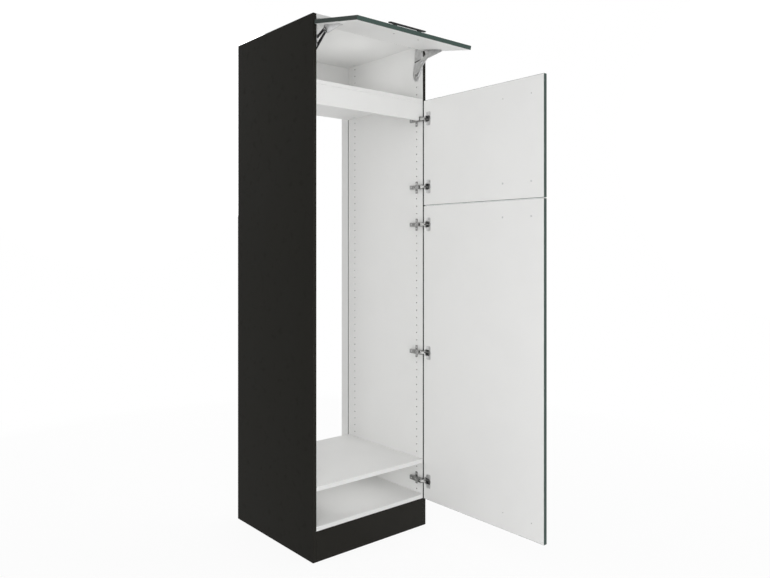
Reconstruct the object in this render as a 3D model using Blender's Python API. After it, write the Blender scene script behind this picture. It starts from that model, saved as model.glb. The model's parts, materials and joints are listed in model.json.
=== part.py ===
# Appliance housing cabinet: a tall kitchen carcass with a lift-up flap and two hinged doors, all open.
# Metres, +Z up, the front faces -Y. The origin is at floor level, halfway across, inside the plinth board.
import math

import bmesh
import bpy
from mathutils import Matrix, Vector

# Carcass
cabinet_width = 0.600
cabinet_height = 2.065
cabinet_depth = 0.550
board = 0.016
seam = 0.0003
overrun = 0.002
plinth_height = 0.116
appliance_shelf_top = 0.282
shelf_above_door = 0.0075
fascia_height = 0.076
space_behind_back = 0.053
hinge_notch_gap = 0.002

# Thin backs in grooves
back_thickness = 0.003
groove_width = 0.0042
groove_depth = 0.0075
groove_seat_gap = 0.0005

# Rows of shelf and fitting holes
row_pitch = 0.032
row_hole_radius = 0.0025
row_hole_depth = 0.012
row_front_inset = 0.037
row_rear_inset = 0.100
row_top_inset = 0.0304
row_end_gap = 0.010
row_sides = 6

# Cam fasteners, set in the undersides of the boards
cam_radius = 0.0075
cam_recess = 0.0006
cam_end_inset = 0.018
cam_front_inset = 0.060
cam_rear_inset = 0.063
cam_slot_width = 0.0018
cam_slot_depth = 0.002
cam_sides = 10

# Fronts: two doors and a flap
front_thickness = 0.016
front_reveal = 0.002
door_stack_bottom = 0.1164
lower_door_share = 0.7352
front_joint = 0.003
door_closed_gap = 0.0025
door_open_setback = 0.005
door_turn = math.radians(90)

# Handles and their screw rows
handle_length = 0.188
handle_spacing = 0.128
handle_width = 0.012
handle_bar_height = 0.0075
handle_reach = 0.0215
handle_foot_width = 0.011
handle_foot_flare = 0.004
handle_fillet = 0.0025
handle_chamfer = 0.001
handle_row_inset = 0.0625
handle_edge_inset = 0.054
handle_screw_radius = 0.002
handle_screw_bite = 0.010
pilot_radius = 0.0015
pilot_depth = 0.0015

# Screws in general
screw_clearance = 0.0003
screw_sides = 6
panel_screw_shank = (0.0021, 0.0115)
panel_screw_head = (0.0036, 0.0016)
front_screw_radius = 0.0016
front_screw_length = 0.011
front_screw_head_radius = 0.0034
front_screw_head_height = 0.0014
handle_head_radius = 0.004
handle_head_height = 0.0018

# Concealed hinges, each centred between two row holes
hinge_end_inset = 0.0785

# Hinge cup, let into the door
cup_centre_inset = 0.022
cup_radius = 0.0172
cup_bore_radius = 0.0175
cup_bore_depth = 0.0127
cup_depth = 0.0122
cup_wall = 0.0005
cup_mouth_half_height = 0.0123
cup_neck_half_height = 0.0090
cup_neck_end = 0.0135
cup_sides = 18
cup_rim_radius = 0.0188
cup_flange_thickness = 0.001
cup_ear_height = 0.0575
cup_ear_width = 0.024
cup_ear_offset = 0.0054
cup_ear_round = 0.006
cup_ear_screw_spacing = 0.046
cup_notch_half_height = 0.0088
cup_notch_depth = 0.0009
cup_ear_step = 0.0001

# Hinge links, as distances from the door's hinge edge and into its thickness
short_link_pin_inset = 0.0093
short_link_pin_depth = 0.00426
short_link_length = 0.00903
long_link_pin_inset = 0.01135
long_link_pin_depth = 0.0015
long_link_length = 0.02317
link_pin_radius = 0.0009
link_pin_clearance = 0.0003
link_pin_sides = 8
link_arc_steps = 4
link_eye_radius = 0.0018
short_link_layer = (0.0053, 0.0066)
short_link_bow = 0.0013
short_link_waist = 0.0010
long_link_layer = (0.0020, 0.0044)
long_link_play = 0.0011
long_link_side_play = 0.0003
long_link_fork_reach = 0.0005
long_link_fork_wall = 0.0007
long_link_fork_share = 2
long_link_bridge_start = 0.0035
long_link_bridge_end = 0.0125
cup_rib_half_width = 0.0014
cup_rib_far = 0.0022
cup_rib_gap = 0.00015
cup_rib_round = 0.0014
cup_pin_seat = 0.0005

# Hinge arm, fixed over its mounting plate
arm_layer = (0.0071, 0.0084)
arm_web = 0.0012
arm_back = 0.062
arm_height = 0.0195
arm_rear_height = 0.0070
arm_front_web = 0.006
arm_neck = 0.012
arm_round = 0.003
arm_tip_side_gap = 0.0018
arm_screw_inset = 0.050
arm_screw_radius = 0.0028
arm_screw_height = 0.0012

# Mounting plate on the side panel
plate_thickness = 0.0016
plate_wing_height = 0.052
plate_wing_width = 0.012
plate_body_front = 0.016
plate_body_back = 0.058
plate_body_taper = 0.004
plate_body_half_height = 0.0066

# Lift-up flap and where it stands open
flap_height = 0.2500
flap_closed_gap = 0.003
flap_turn = math.radians(78.8)
flap_top_inset = 0.0025
flap_open_setback = 0.0055
flap_open_drop = 0.0434

# Flap lift fittings: pivots on the flap, from its top edge and behind its inner face
lever_pin_inset = 0.04006
lever_pin_height = 0.0260
lever_length = 0.09263
stay_pin_inset = 0.03523
stay_pin_height = 0.01598
stay_length = 0.05012
lift_pin_radius = 0.003
lift_pin_clearance = 0.0003
lift_pin_recess = 0.0003
stay_play = 0.0013
lift_sides = 10
lever_hub_radius = 0.0080
lever_eye_radius = 0.0052
stay_eye_radius = 0.0056
lift_plate = 0.0027
lift_gap = 0.0003
lift_body_thickness = 0.0066
lift_base_thickness = 0.002
lift_base_margin = 0.0015
lift_round = 0.006
lift_front_inset = 0.002
lift_rows_apart = 4
lift_ear_radius = 0.0075
lift_heel_depth = 0.055
lift_shoulder = 0.030
bracket_plate = 0.0025
bracket_start = 0.020
bracket_end = 0.120
bracket_tail = 0.007
bracket_tip_width = 0.012
bracket_round = 0.004
bracket_flange_width = 0.016
bracket_flange_thickness = 0.002
bracket_screw_shares = (0.20, 0.55, 0.88)


# Materials
def make_material(name, colour, roughness, metallic=0.0):
    material = bpy.data.materials.new(name)
    material.use_nodes = True
    shader = material.node_tree.nodes['Principled BSDF']
    shader.inputs['Base Color'].default_value = (*colour, 1.0)
    shader.inputs['Roughness'].default_value = roughness
    shader.inputs['Metallic'].default_value = metallic
    return material


# Outlines, as lists of points in a plane
def arc_outline(centre, radius, start, end, steps):
    return [
        (
            centre[0] + radius * math.cos(start + (end - start) * i / steps),
            centre[1] + radius * math.sin(start + (end - start) * i / steps),
        )
        for i in range(steps + 1)
    ]


def link_outline(first, second, first_radius, second_radius, steps):
    """Two round ends and their outer tangents."""
    across = Vector(second) - Vector(first)
    heading = math.atan2(across.y, across.x)
    lean = math.acos((first_radius - second_radius) / across.length)
    near = arc_outline(first, first_radius, heading + lean, heading + 2 * math.pi - lean, steps)
    far = arc_outline(second, second_radius, heading - lean, heading + lean, steps)
    return near + far


def rounded_outline(corners, radius, steps):
    """A closed outline with each corner replaced by an arc that touches both sides."""
    points = []
    for i, corner in enumerate(corners):
        here = Vector(corner)
        back = Vector(corners[i - 1]) - here
        ahead = Vector(corners[(i + 1) % len(corners)]) - here
        half = back.angle(ahead) / 2
        reach = min(radius / math.tan(half), back.length / 2, ahead.length / 2)
        fitted = reach * math.tan(half)
        middle = (back.normalized() + ahead.normalized()).normalized()
        centre = here + middle * fitted / math.sin(half)
        start = here + back.normalized() * reach - centre
        end = here + ahead.normalized() * reach - centre
        turn = start.angle_signed(end)
        for k in range(steps + 1):
            spoke = start.copy()
            spoke.rotate(Matrix.Rotation(-turn * k / steps, 2))
            points.append(tuple(centre + spoke))
    return points


# Solids added to a bmesh
plan_view = Matrix.Identity(4)
side_view = Matrix(((0, 0, 1, 0), (1, 0, 0, 0), (0, 1, 0, 0), (0, 0, 0, 1)))
front_view = Matrix(((1, 0, 0, 0), (0, 0, 1, 0), (0, 1, 0, 0), (0, 0, 0, 1)))


def add_box(bm, low, high):
    low, high = Vector(low), Vector(high)
    scale = Matrix.Diagonal((*(high - low), 1))
    bmesh.ops.create_cube(bm, size=1, matrix=Matrix.Translation((low + high) / 2) @ scale)


def add_prism(bm, outline, view, low, high):
    bottom = [bm.verts.new(view @ Vector((a, b, low))) for a, b in outline]
    top = [bm.verts.new(view @ Vector((a, b, high))) for a, b in outline]
    bm.faces.new(bottom)
    bm.faces.new(top)
    for i in range(len(outline)):
        bm.faces.new((bottom[i - 1], bottom[i], top[i], top[i - 1]))


def add_turned(bm, base, axis, profile, sides):
    """A solid of revolution: profile holds (radius, height along the axis) from cap to cap."""
    turn = Vector(axis).to_track_quat('Z', 'Y').to_matrix().to_4x4()
    place = Matrix.Translation(base) @ turn
    rings = []
    for radius, height in profile:
        spokes = arc_outline((0, 0), radius, 0, 2 * math.pi, sides)[:-1]
        rings.append([bm.verts.new(place @ Vector((a, b, height))) for a, b in spokes])
    bm.faces.new(rings[0])
    bm.faces.new(rings[-1])
    for lower, upper in zip(rings, rings[1:]):
        for i in range(sides):
            bm.faces.new((lower[i - 1], lower[i], upper[i], upper[i - 1]))


def add_pin(bm, start, end, radius, sides):
    along = Vector(end) - Vector(start)
    add_turned(bm, start, along, ((radius, 0), (radius, along.length)), sides)


def add_screw(bm, seat, axis, head_radius, head_height, shank_radius, shank_length):
    """A head on its seat and a shank that goes in against the axis."""
    profile = (
        (shank_radius, -shank_length),
        (shank_radius, 0),
        (head_radius, 0),
        (head_radius, head_height / 2),
        (head_radius - head_height / 2, head_height),
    )
    add_turned(bm, seat, axis, profile, screw_sides)


def finish_mesh(bm, name):
    bmesh.ops.recalc_face_normals(bm, faces=bm.faces)
    mesh = bpy.data.meshes.new(name)
    bm.to_mesh(mesh)
    bm.free()
    return mesh


def combine(mesh, tool, operation):
    """The mesh after one exact Boolean with the solids in the bmesh tool."""
    tool_mesh = finish_mesh(tool, 'tool')
    body = bpy.data.objects.new('body', mesh)
    cutter = bpy.data.objects.new('cutter', tool_mesh)
    cutter.hide_render = True
    cutter.display_type = 'WIRE'
    for item in (body, cutter):
        bpy.context.scene.collection.objects.link(item)
    modifier = body.modifiers.new('Combine', 'BOOLEAN')
    modifier.operation = operation
    modifier.solver = 'EXACT'
    modifier.object = cutter
    bpy.context.view_layer.update()
    shaped = bpy.data.meshes.new_from_object(body.evaluated_get(bpy.context.evaluated_depsgraph_get()))
    for item in (body, cutter):
        bpy.data.objects.remove(item)
    return shaped


def cut(mesh, tool):
    return combine(mesh, tool, 'DIFFERENCE')


def fuse(mesh, tool):
    return combine(mesh, tool, 'UNION')


# Objects
def place_object(name, mesh, material, parent, location=(0, 0, 0), rotation=(0, 0, 0)):
    thing = bpy.data.objects.new(name, mesh)
    if not mesh.materials:
        mesh.materials.append(material)
    bpy.context.scene.collection.objects.link(thing)
    thing.parent = parent
    thing.location = location
    thing.rotation_euler = rotation
    return thing


def place_empty(name, parent, location, rotation=(0, 0, 0)):
    empty = bpy.data.objects.new(name, None)
    bpy.context.scene.collection.objects.link(empty)
    empty.parent = parent
    empty.location = location
    empty.rotation_euler = rotation
    return empty


def place_board(name, low, high, material, parent, cutters=()):
    """A board with its origin at its low corner; cutters are in cabinet coordinates."""
    bm = bmesh.new()
    add_box(bm, low, high)
    mesh = finish_mesh(bm, name)
    for cutter in cutters:
        mesh = cut(mesh, cutter)
    mesh.transform(Matrix.Translation(-Vector(low)))
    return place_object(name, mesh, material, parent, low)


# Derived places
inner_left = board
inner_right = cabinet_width - board
span_left = inner_left + seam
span_right = inner_right - seam
bottom_panel_top = plinth_height + board
appliance_shelf_bottom = appliance_shelf_top - board
top_panel_bottom = cabinet_height - board
upper_door_top = cabinet_height - flap_top_inset - flap_height - front_joint
compartment_shelf_top = upper_door_top + shelf_above_door
compartment_shelf_bottom = compartment_shelf_top - board
fascia_bottom = compartment_shelf_bottom - fascia_height
shelf_depth = cabinet_depth - space_behind_back
row_insets = (row_front_inset, cabinet_depth - row_rear_inset)
back_front = shelf_depth + seam + (groove_width - back_thickness) / 2
groove_front = back_front - (groove_width - back_thickness) / 2
lower_door_top = door_stack_bottom + lower_door_share * (upper_door_top - door_stack_bottom)
upper_door_bottom = lower_door_top + front_joint


def row_height(step):
    """Height of a row hole, counted down from the top one."""
    return cabinet_height - row_top_inset - row_pitch * step


def hinge_height(wanted):
    """The middle between two row holes that is nearest to a wanted height."""
    return row_height(round((row_height(0) - wanted) / row_pitch - 1 / 2) + 1 / 2)


row_count = math.ceil((row_height(0) - bottom_panel_top - row_end_gap) / row_pitch)
upper_door_hinges = (
    hinge_height(upper_door_top - hinge_end_inset),
    hinge_height(upper_door_bottom + hinge_end_inset),
)
lower_door_hinges = (
    hinge_height(lower_door_top - hinge_end_inset),
    hinge_height((lower_door_top + door_stack_bottom) / 2),
    hinge_height(door_stack_bottom + hinge_end_inset),
)


def open_row_heights():
    """Heights of the row holes that no fixed board covers."""
    covered = (
        (appliance_shelf_bottom, appliance_shelf_top),
        (compartment_shelf_bottom, compartment_shelf_top),
    )
    for step in range(row_count):
        height = row_height(step)
        near = any(low - row_hole_radius < height < high + row_hole_radius for low, high in covered)
        if not near:
            yield height


# Carcass boards
def side_panel_cutters(inner_face, inward):
    """Hole rows and the back groove, sunk into the inner face of a side panel."""
    bm = bmesh.new()
    for inset in row_insets:
        for height in open_row_heights():
            start = (inner_face - inward * row_hole_depth, inset, height)
            end = (inner_face + inward * overrun, inset, height)
            add_pin(bm, start, end, row_hole_radius, row_sides)
    x_values = sorted((inner_face - inward * groove_depth, inner_face + inward * overrun))
    low = (x_values[0], groove_front, -overrun)
    high = (x_values[1], groove_front + groove_width, cabinet_height + overrun)
    add_box(bm, low, high)
    return bm


def cam_places():
    """(x, y) of the four cams in the underside of a full board."""
    for y in (cam_front_inset, shelf_depth - cam_rear_inset):
        for x in (span_left + cam_end_inset, span_right - cam_end_inset):
            yield x, y


def cam_recesses(bm, underside):
    for x, y in cam_places():
        add_pin(bm, (x, y, underside - overrun), (x, y, underside + cam_recess), cam_radius, cam_sides)


def cam_slots(bm, underside):
    for x, y in cam_places():
        low = (x - cam_radius / 2, y - cam_slot_width / 2, underside - overrun)
        high = (x + cam_radius / 2, y + cam_slot_width / 2, underside + cam_recess + cam_slot_depth)
        add_box(bm, low, high)


def fascia_notch():
    """A cut-out in the lower corner on the hinge side, where the top hinge's arm passes."""
    bm = bmesh.new()
    width = arm_height + link_eye_radius + hinge_notch_gap
    top = upper_door_hinges[0] + arm_layer[1] + hinge_notch_gap
    low = (inner_right - width, -overrun, fascia_bottom - overrun)
    add_box(bm, low, (cabinet_width, board + overrun, top))
    return bm


def build_carcass(root, inside, outside):
    left_cutters = (side_panel_cutters(inner_left, 1),)
    right_cutters = (side_panel_cutters(inner_right, -1),)
    side_high = (board, cabinet_depth, cabinet_height)
    place_board('side_panel_left', (0, 0, 0), side_high, outside, root, left_cutters)
    right_low = (inner_right, 0, 0)
    right_high = (cabinet_width, cabinet_depth, cabinet_height)
    place_board('side_panel_right', right_low, right_high, outside, root, right_cutters)

    top_cutters = (bmesh.new(), bmesh.new())
    cam_recesses(top_cutters[0], top_panel_bottom)
    cam_slots(top_cutters[1], top_panel_bottom)
    groove_low = (0, groove_front, top_panel_bottom - overrun)
    groove_high = (cabinet_width, groove_front + groove_width, top_panel_bottom + groove_depth)
    add_box(top_cutters[0], groove_low, groove_high)
    low = (span_left, 0, top_panel_bottom)
    high = (span_right, cabinet_depth, cabinet_height)
    place_board('top_panel', low, high, inside, root, top_cutters)

    boards = (
        ('compartment_shelf', compartment_shelf_bottom),
        ('appliance_shelf', appliance_shelf_bottom),
        ('bottom_panel', plinth_height),
    )
    for name, bottom in boards:
        cutters = (bmesh.new(), bmesh.new())
        cam_recesses(cutters[0], bottom)
        cam_slots(cutters[1], bottom)
        low = (span_left, 0, bottom)
        high = (span_right, shelf_depth, bottom + board)
        place_board(name, low, high, inside, root, cutters)

    low = (span_left, 0, fascia_bottom)
    high = (span_right, board, compartment_shelf_bottom - seam)
    place_board('niche_fascia', low, high, inside, root, (fascia_notch(),))
    low = (span_left, 0, 0)
    high = (span_right, board, plinth_height - seam)
    place_board('plinth_board', low, high, outside, root)

    back_left = inner_left - groove_depth + groove_seat_gap
    back_right = inner_right + groove_depth - groove_seat_gap
    low = (back_left, back_front, compartment_shelf_bottom)
    high = (back_right, back_front + back_thickness, top_panel_bottom + groove_depth - groove_seat_gap)
    place_board('compartment_back', low, high, inside, root)
    low = (back_left, back_front, plinth_height)
    high = (back_right, back_front + back_thickness, appliance_shelf_top)
    place_board('lower_back', low, high, inside, root)


# Handles
def handle_mesh():
    """A flat bow on two flared feet, along X, standing out along Z from its seat."""
    end = handle_length / 2
    foot = handle_spacing / 2
    inner = handle_foot_width / 2
    outer = inner + handle_foot_flare
    under = handle_reach - handle_bar_height
    half = [
        (end, handle_reach),
        (end, under),
        (foot + outer, under),
        (foot + inner, 0),
        (foot - inner, 0),
        (foot - outer, under),
    ]
    mirrored = [(-x, z) for x, z in reversed(half)]
    bm = bmesh.new()
    outline = rounded_outline(half + mirrored, handle_fillet, 2)
    add_prism(bm, outline, front_view, -handle_width / 2, handle_width / 2)
    mesh = finish_mesh(bm, 'bow_handle')
    holes = bmesh.new()
    for x in (-foot, foot):
        start = (x, 0, -overrun)
        end_point = (x, 0, handle_screw_bite + seam)
        add_pin(holes, start, end_point, handle_screw_radius + screw_clearance, screw_sides)
    return cut(mesh, holes)


def handle_screw_mesh():
    """A screw with its seat at the origin and its head along Z."""
    bm = bmesh.new()
    shank = front_thickness + seam + handle_screw_bite - screw_clearance
    add_screw(bm, (0, 0, 0), (0, 0, 1), handle_head_radius, handle_head_height, handle_screw_radius, shank)
    return finish_mesh(bm, 'handle_screw')


# Doors, modelled in (distance from the hinge edge, depth from the inner face, height)
def door_closed(inset, depth):
    """Where a point of a door lies when it is shut, seen from above."""
    return Vector((cabinet_width - front_reveal - inset, -door_closed_gap - depth))


def door_opened(inset, depth):
    return Vector((inner_right + depth, -door_open_setback - inset))


def link_base(closed, opened, length, toward):
    """The point at one length from both end places of a moving pin, on the side that faces toward."""
    middle = (closed + opened) / 2
    half = (opened - closed) / 2
    across = Vector((-half.y, half.x)).normalized()
    if across.dot(toward) < 0:
        across = -across
    return middle + across * math.sqrt(length ** 2 - half.length ** 2)


def heading(start, end):
    return math.atan2(end.y - start.y, end.x - start.x)


def turned(closed, opened, base):
    """Angle that a link turns from shut to open."""
    change = heading(base, opened) - heading(base, closed)
    return (change + math.pi) % (2 * math.pi) - math.pi


inward = Vector((-1, 0))
short_pin_closed = door_closed(short_link_pin_inset, short_link_pin_depth)
short_pin_opened = door_opened(short_link_pin_inset, short_link_pin_depth)
short_base = link_base(short_pin_closed, short_pin_opened, short_link_length, inward)
long_pin_closed = door_closed(long_link_pin_inset, long_link_pin_depth)
long_pin_opened = door_opened(long_link_pin_inset, long_link_pin_depth)
long_base = link_base(long_pin_closed, long_pin_opened, long_link_length, inward)
door_heights = {
    'upper_door': (upper_door_bottom, upper_door_top, upper_door_hinges),
    'lower_door': (door_stack_bottom, lower_door_top, lower_door_hinges),
}
front_width = cabinet_width - 2 * front_reveal


def door_handle_rows(bottom, top):
    return bottom + handle_row_inset, top - handle_row_inset


def handle_insets():
    first = front_width - handle_edge_inset
    return first, first - handle_spacing


def build_door(name, root, front, black, steel, handle, screw):
    bottom, top, hinges = door_heights[name]
    pivot_place = (short_pin_opened.x, short_pin_opened.y, 0)
    pivot = place_empty(name + '_pivot', root, pivot_place, (0, 0, -door_turn))

    bm = bmesh.new()
    add_box(bm, (0, 0, bottom), (front_width, front_thickness, top))
    mesh = finish_mesh(bm, name)
    cutters = bmesh.new()
    ear_screws = ear_screw_places(hinges)
    for centre in hinges:
        start = (cup_centre_inset, -overrun, centre)
        end = (cup_centre_inset, cup_bore_depth, centre)
        add_pin(cutters, start, end, cup_bore_radius, cup_sides)
    for x, z in ear_screws:
        end = (x, front_screw_length + seam, z)
        add_pin(cutters, (x, -overrun, z), end, front_screw_radius + screw_clearance, screw_sides)
    low_row, high_row = door_handle_rows(bottom, top)
    handle_row, spare_row = (low_row, high_row) if name == 'upper_door' else (high_row, low_row)
    for x in handle_insets():
        end = (x, front_thickness + overrun, handle_row)
        add_pin(cutters, (x, -overrun, handle_row), end, handle_screw_radius + screw_clearance, screw_sides)
        add_pin(cutters, (x, -overrun, spare_row), (x, pilot_depth, spare_row), pilot_radius, row_sides)
    mesh = cut(mesh, cutters)
    to_pivot = Matrix.Translation((-short_link_pin_inset, -short_link_pin_depth, 0))
    mesh.transform(to_pivot)
    place_object(name, mesh, front, pivot)

    for i, x in enumerate(handle_insets()):
        seat = to_pivot @ Vector((x, -seam, handle_row))
        place_object(name + '_handle_screw_' + str(i + 1), screw, steel, pivot, seat, (math.pi / 2, 0, 0))

    middle = sum(handle_insets()) / 2
    seat = to_pivot @ Vector((middle, front_thickness + seam, handle_row))
    place_object(name + '_handle', handle, black, pivot, seat, (-math.pi / 2, 0, 0))
    return pivot


# Concealed hinges
def ear_screw_places(hinges):
    x = cup_centre_inset + cup_ear_offset
    return [(x, centre + side * cup_ear_screw_spacing / 2) for centre in hinges for side in (-1, 1)]


def cup_mesh():
    """A round cup with a screwed flange, bores for the short link's pin and a rib for the long link's.
    Modelled about the short link's pin, in the door's own directions."""
    bm = bmesh.new()
    lip = seam + cup_flange_thickness / 2
    drum = ((cup_radius, -lip), (cup_radius, cup_depth))
    add_turned(bm, (cup_centre_inset, 0, 0), (0, 1, 0), drum, cup_sides)
    mesh = finish_mesh(bm, 'hinge_cup')

    flange = bmesh.new()
    top = -seam - cup_flange_thickness
    rim = ((cup_rim_radius, 0), (cup_rim_radius, cup_flange_thickness))
    add_turned(flange, (cup_centre_inset, top, 0), (0, 1, 0), rim, cup_sides)
    mesh = fuse(mesh, flange)
    ears = bmesh.new()
    centre = cup_centre_inset + cup_ear_offset
    half_width = cup_ear_width / 2
    half_height = cup_ear_height / 2
    corners = [
        (centre - half_width, -half_height),
        (centre + half_width, -half_height),
        (centre + half_width, half_height),
        (centre - half_width, half_height),
    ]
    ear_outline = rounded_outline(corners, cup_ear_round, 2)
    add_prism(ears, ear_outline, front_view, top + cup_ear_step, -seam - cup_ear_step)
    mesh = fuse(mesh, ears)

    cavity = bmesh.new()
    inner = cup_radius - cup_wall
    limit = math.asin(cup_mouth_half_height / inner)
    neck_limit = math.asin(cup_neck_half_height / inner)
    place = (cup_centre_inset, 0)
    mouth = arc_outline(place, inner, -limit, limit, 6)
    mouth += [(cup_neck_end, cup_mouth_half_height), (cup_neck_end, cup_neck_half_height)]
    mouth += arc_outline(place, inner, math.pi - neck_limit, math.pi + neck_limit, 4)
    mouth += [(cup_neck_end, -cup_neck_half_height), (cup_neck_end, -cup_mouth_half_height)]
    add_prism(cavity, mouth, front_view, top - overrun, cup_depth - cup_wall)
    mesh = cut(mesh, cavity)
    openings = bmesh.new()
    low = (0, top - overrun, -cup_notch_half_height)
    high = (short_link_pin_inset, cup_notch_depth, cup_notch_half_height)
    add_box(openings, low, high)
    mesh = cut(mesh, openings)

    bores = bmesh.new()
    end = cup_neck_half_height + cup_pin_seat + seam
    pin_place = (short_link_pin_inset, short_link_pin_depth)
    bore_radius = link_pin_radius + link_pin_clearance
    add_pin(bores, (*pin_place, -end), (*pin_place, end), bore_radius, link_pin_sides)
    mesh = cut(mesh, bores)

    rib = bmesh.new()
    near = short_link_pin_inset + link_pin_radius + link_pin_clearance + cup_rib_gap
    far = long_link_pin_inset + cup_rib_far
    crest = long_link_pin_depth - cup_rib_round
    floor = cup_depth - cup_wall / 2
    corners = [(near, floor), (near, short_link_pin_depth), (near, crest), (far, crest), (far, floor)]
    add_prism(rib, corners, plan_view, -cup_rib_half_width, cup_rib_half_width)
    mesh = fuse(mesh, rib)
    pins = bmesh.new()
    reach = long_link_layer[1] + seam
    pin_place = (long_link_pin_inset, long_link_pin_depth)
    add_pin(pins, (*pin_place, -reach), (*pin_place, reach), link_pin_radius, link_pin_sides)
    head = (front_screw_head_radius, front_screw_head_height)
    for x, z in ear_screw_places((0,)):
        seat = (x, top + seam, z)
        add_screw(pins, seat, (0, -1, 0), *head, front_screw_radius, front_screw_length)
    mesh = fuse(mesh, pins)
    mesh.transform(Matrix.Translation((-short_link_pin_inset, -short_link_pin_depth, 0)))
    return mesh


def short_link_mesh():
    """Two bowed plates on one cross pin, which turns in the cup; their other ends have eyes for the arm."""
    tip = (short_link_length, 0)
    middle = short_link_length / 2
    outline = arc_outline((0, 0), link_eye_radius, math.pi / 2, 1.5 * math.pi, link_arc_steps)
    outline.append((middle, -short_link_bow - short_link_waist))
    outline += arc_outline(tip, link_eye_radius, -math.pi / 2, math.pi / 2, link_arc_steps)
    outline.append((middle, -short_link_bow + short_link_waist))
    bm = bmesh.new()
    holes = bmesh.new()
    for side in (-1, 1):
        low, high = sorted(side * z for z in short_link_layer)
        add_prism(bm, outline, plan_view, low, high)
    reach = short_link_layer[1] + overrun
    add_pin(holes, (0, 0, -reach), (0, 0, reach), link_pin_radius + link_pin_clearance, link_pin_sides)
    mesh = cut(finish_mesh(bm, 'hinge_short_link'), holes)
    pin = bmesh.new()
    end = cup_neck_half_height + cup_pin_seat
    add_pin(pin, (*tip, -end), (*tip, end), link_pin_radius, link_pin_sides)
    return fuse(mesh, pin)


def long_link_mesh():
    """Two plates joined by a bridge near the arm; each ends in a fork that is loose on the cup's pin."""
    hole = link_pin_radius + link_pin_clearance
    loose = hole + long_link_side_play
    eye = loose + long_link_fork_wall
    tip = long_link_length + long_link_fork_reach
    heel = arc_outline((0, 0), link_eye_radius, math.pi / 2, 1.5 * math.pi, link_arc_steps)
    neck = long_link_length - long_link_fork_share * eye
    outline = heel + [(neck, -eye), (tip, -eye), (tip, eye), (neck, eye)]
    bm = bmesh.new()
    add_prism(bm, outline, plan_view, -long_link_layer[1], long_link_layer[1])
    mesh = finish_mesh(bm, 'hinge_long_link')
    gaps = bmesh.new()
    for low, high in ((-overrun - eye, long_link_bridge_start), (long_link_bridge_end, tip + eye + overrun)):
        add_box(gaps, (low, -eye - overrun, -long_link_layer[0]), (high, eye + overrun, long_link_layer[0]))
    mesh = cut(mesh, gaps)
    holes = bmesh.new()
    depth = long_link_layer[1] + overrun
    add_pin(holes, (0, 0, -depth), (0, 0, depth), hole, link_pin_sides)
    slot_start = long_link_length - long_link_play
    slot = arc_outline((slot_start, 0), loose, math.pi / 2, 1.5 * math.pi, link_arc_steps)
    slot += [(tip + overrun, -loose), (tip + overrun, loose)]
    add_prism(holes, slot, plan_view, -depth, depth)
    return cut(mesh, holes)


def arm_mesh():
    """A channel, open toward the side panel, whose cheeks carry both link pins at the tip."""
    low_x = long_base.x - link_eye_radius
    high_x = inner_right - arm_tip_side_gap
    web_x = inner_right - arm_height
    rear_x = inner_right - arm_rear_height
    nose = arc_outline(tuple(long_base), link_eye_radius, math.pi, 1.5 * math.pi, 3)
    nose += arc_outline(tuple(short_base), high_x - short_base.x, 1.5 * math.pi, 2 * math.pi, 3)
    outline = nose + [
        (high_x, 0),
        (rear_x, arm_neck),
        (rear_x, arm_back - arm_round),
        (rear_x - arm_round, arm_back),
        (web_x + arm_round, arm_back),
        (web_x, arm_back - arm_round),
        (web_x, arm_neck),
        (low_x, 0),
    ]
    bm = bmesh.new()
    add_prism(bm, outline, plan_view, -arm_layer[1], arm_layer[1])
    mesh = finish_mesh(bm, 'hinge_arm')
    channel = bmesh.new()
    low = (web_x + arm_web, -cup_radius, -arm_layer[0])
    high = (inner_right, arm_back + overrun, arm_layer[0])
    add_box(channel, low, high)
    mesh = cut(mesh, channel)
    mouth = bmesh.new()
    low = (low_x - overrun, -cup_radius, -arm_layer[0])
    high = (inner_right, arm_front_web, arm_layer[0])
    add_box(mouth, low, high)
    mesh = cut(mesh, mouth)
    pins = bmesh.new()
    inside = (arm_layer[0] + arm_layer[1]) / 2
    start = (long_base.x, long_base.y, -inside)
    end = (long_base.x, long_base.y, inside)
    add_pin(pins, start, end, link_pin_radius, link_pin_sides)
    for side in (-1, 1):
        start = (short_base.x, short_base.y, side * (short_link_layer[0] - seam / 2))
        end = (short_base.x, short_base.y, side * inside)
        add_pin(pins, start, end, link_pin_radius, link_pin_sides)
    screw = (web_x + arm_web / 2, arm_screw_inset, 0)
    add_pin(pins, screw, (web_x - arm_screw_height, arm_screw_inset, 0), arm_screw_radius, link_pin_sides)
    return fuse(mesh, pins)


def plate_mesh():
    """A cross plate, screwed to the side panel, with a tapered body that fills the arm's channel."""
    face = inner_right - seam
    bm = bmesh.new()
    half = plate_wing_height / 2
    low = (face - plate_thickness, row_front_inset - plate_wing_width / 2, -half)
    high = (face, row_front_inset + plate_wing_width / 2, half)
    add_box(bm, low, high)
    mesh = finish_mesh(bm, 'hinge_plate')
    body = bmesh.new()
    crest = inner_right - arm_height + arm_web + seam
    outline = [
        (face, plate_body_front),
        (face, plate_body_back),
        (crest, plate_body_back - plate_body_taper),
        (crest, plate_body_front + plate_body_taper),
    ]
    add_prism(body, outline, plan_view, -plate_body_half_height, plate_body_half_height)
    mesh = fuse(mesh, body)
    screws = bmesh.new()
    for side in (-1, 1):
        seat = (face - plate_thickness + seam, row_front_inset, side * row_pitch / 2)
        add_screw(screws, seat, (-1, 0, 0), *panel_screw_head, *panel_screw_shank)
    return fuse(mesh, screws)


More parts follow.
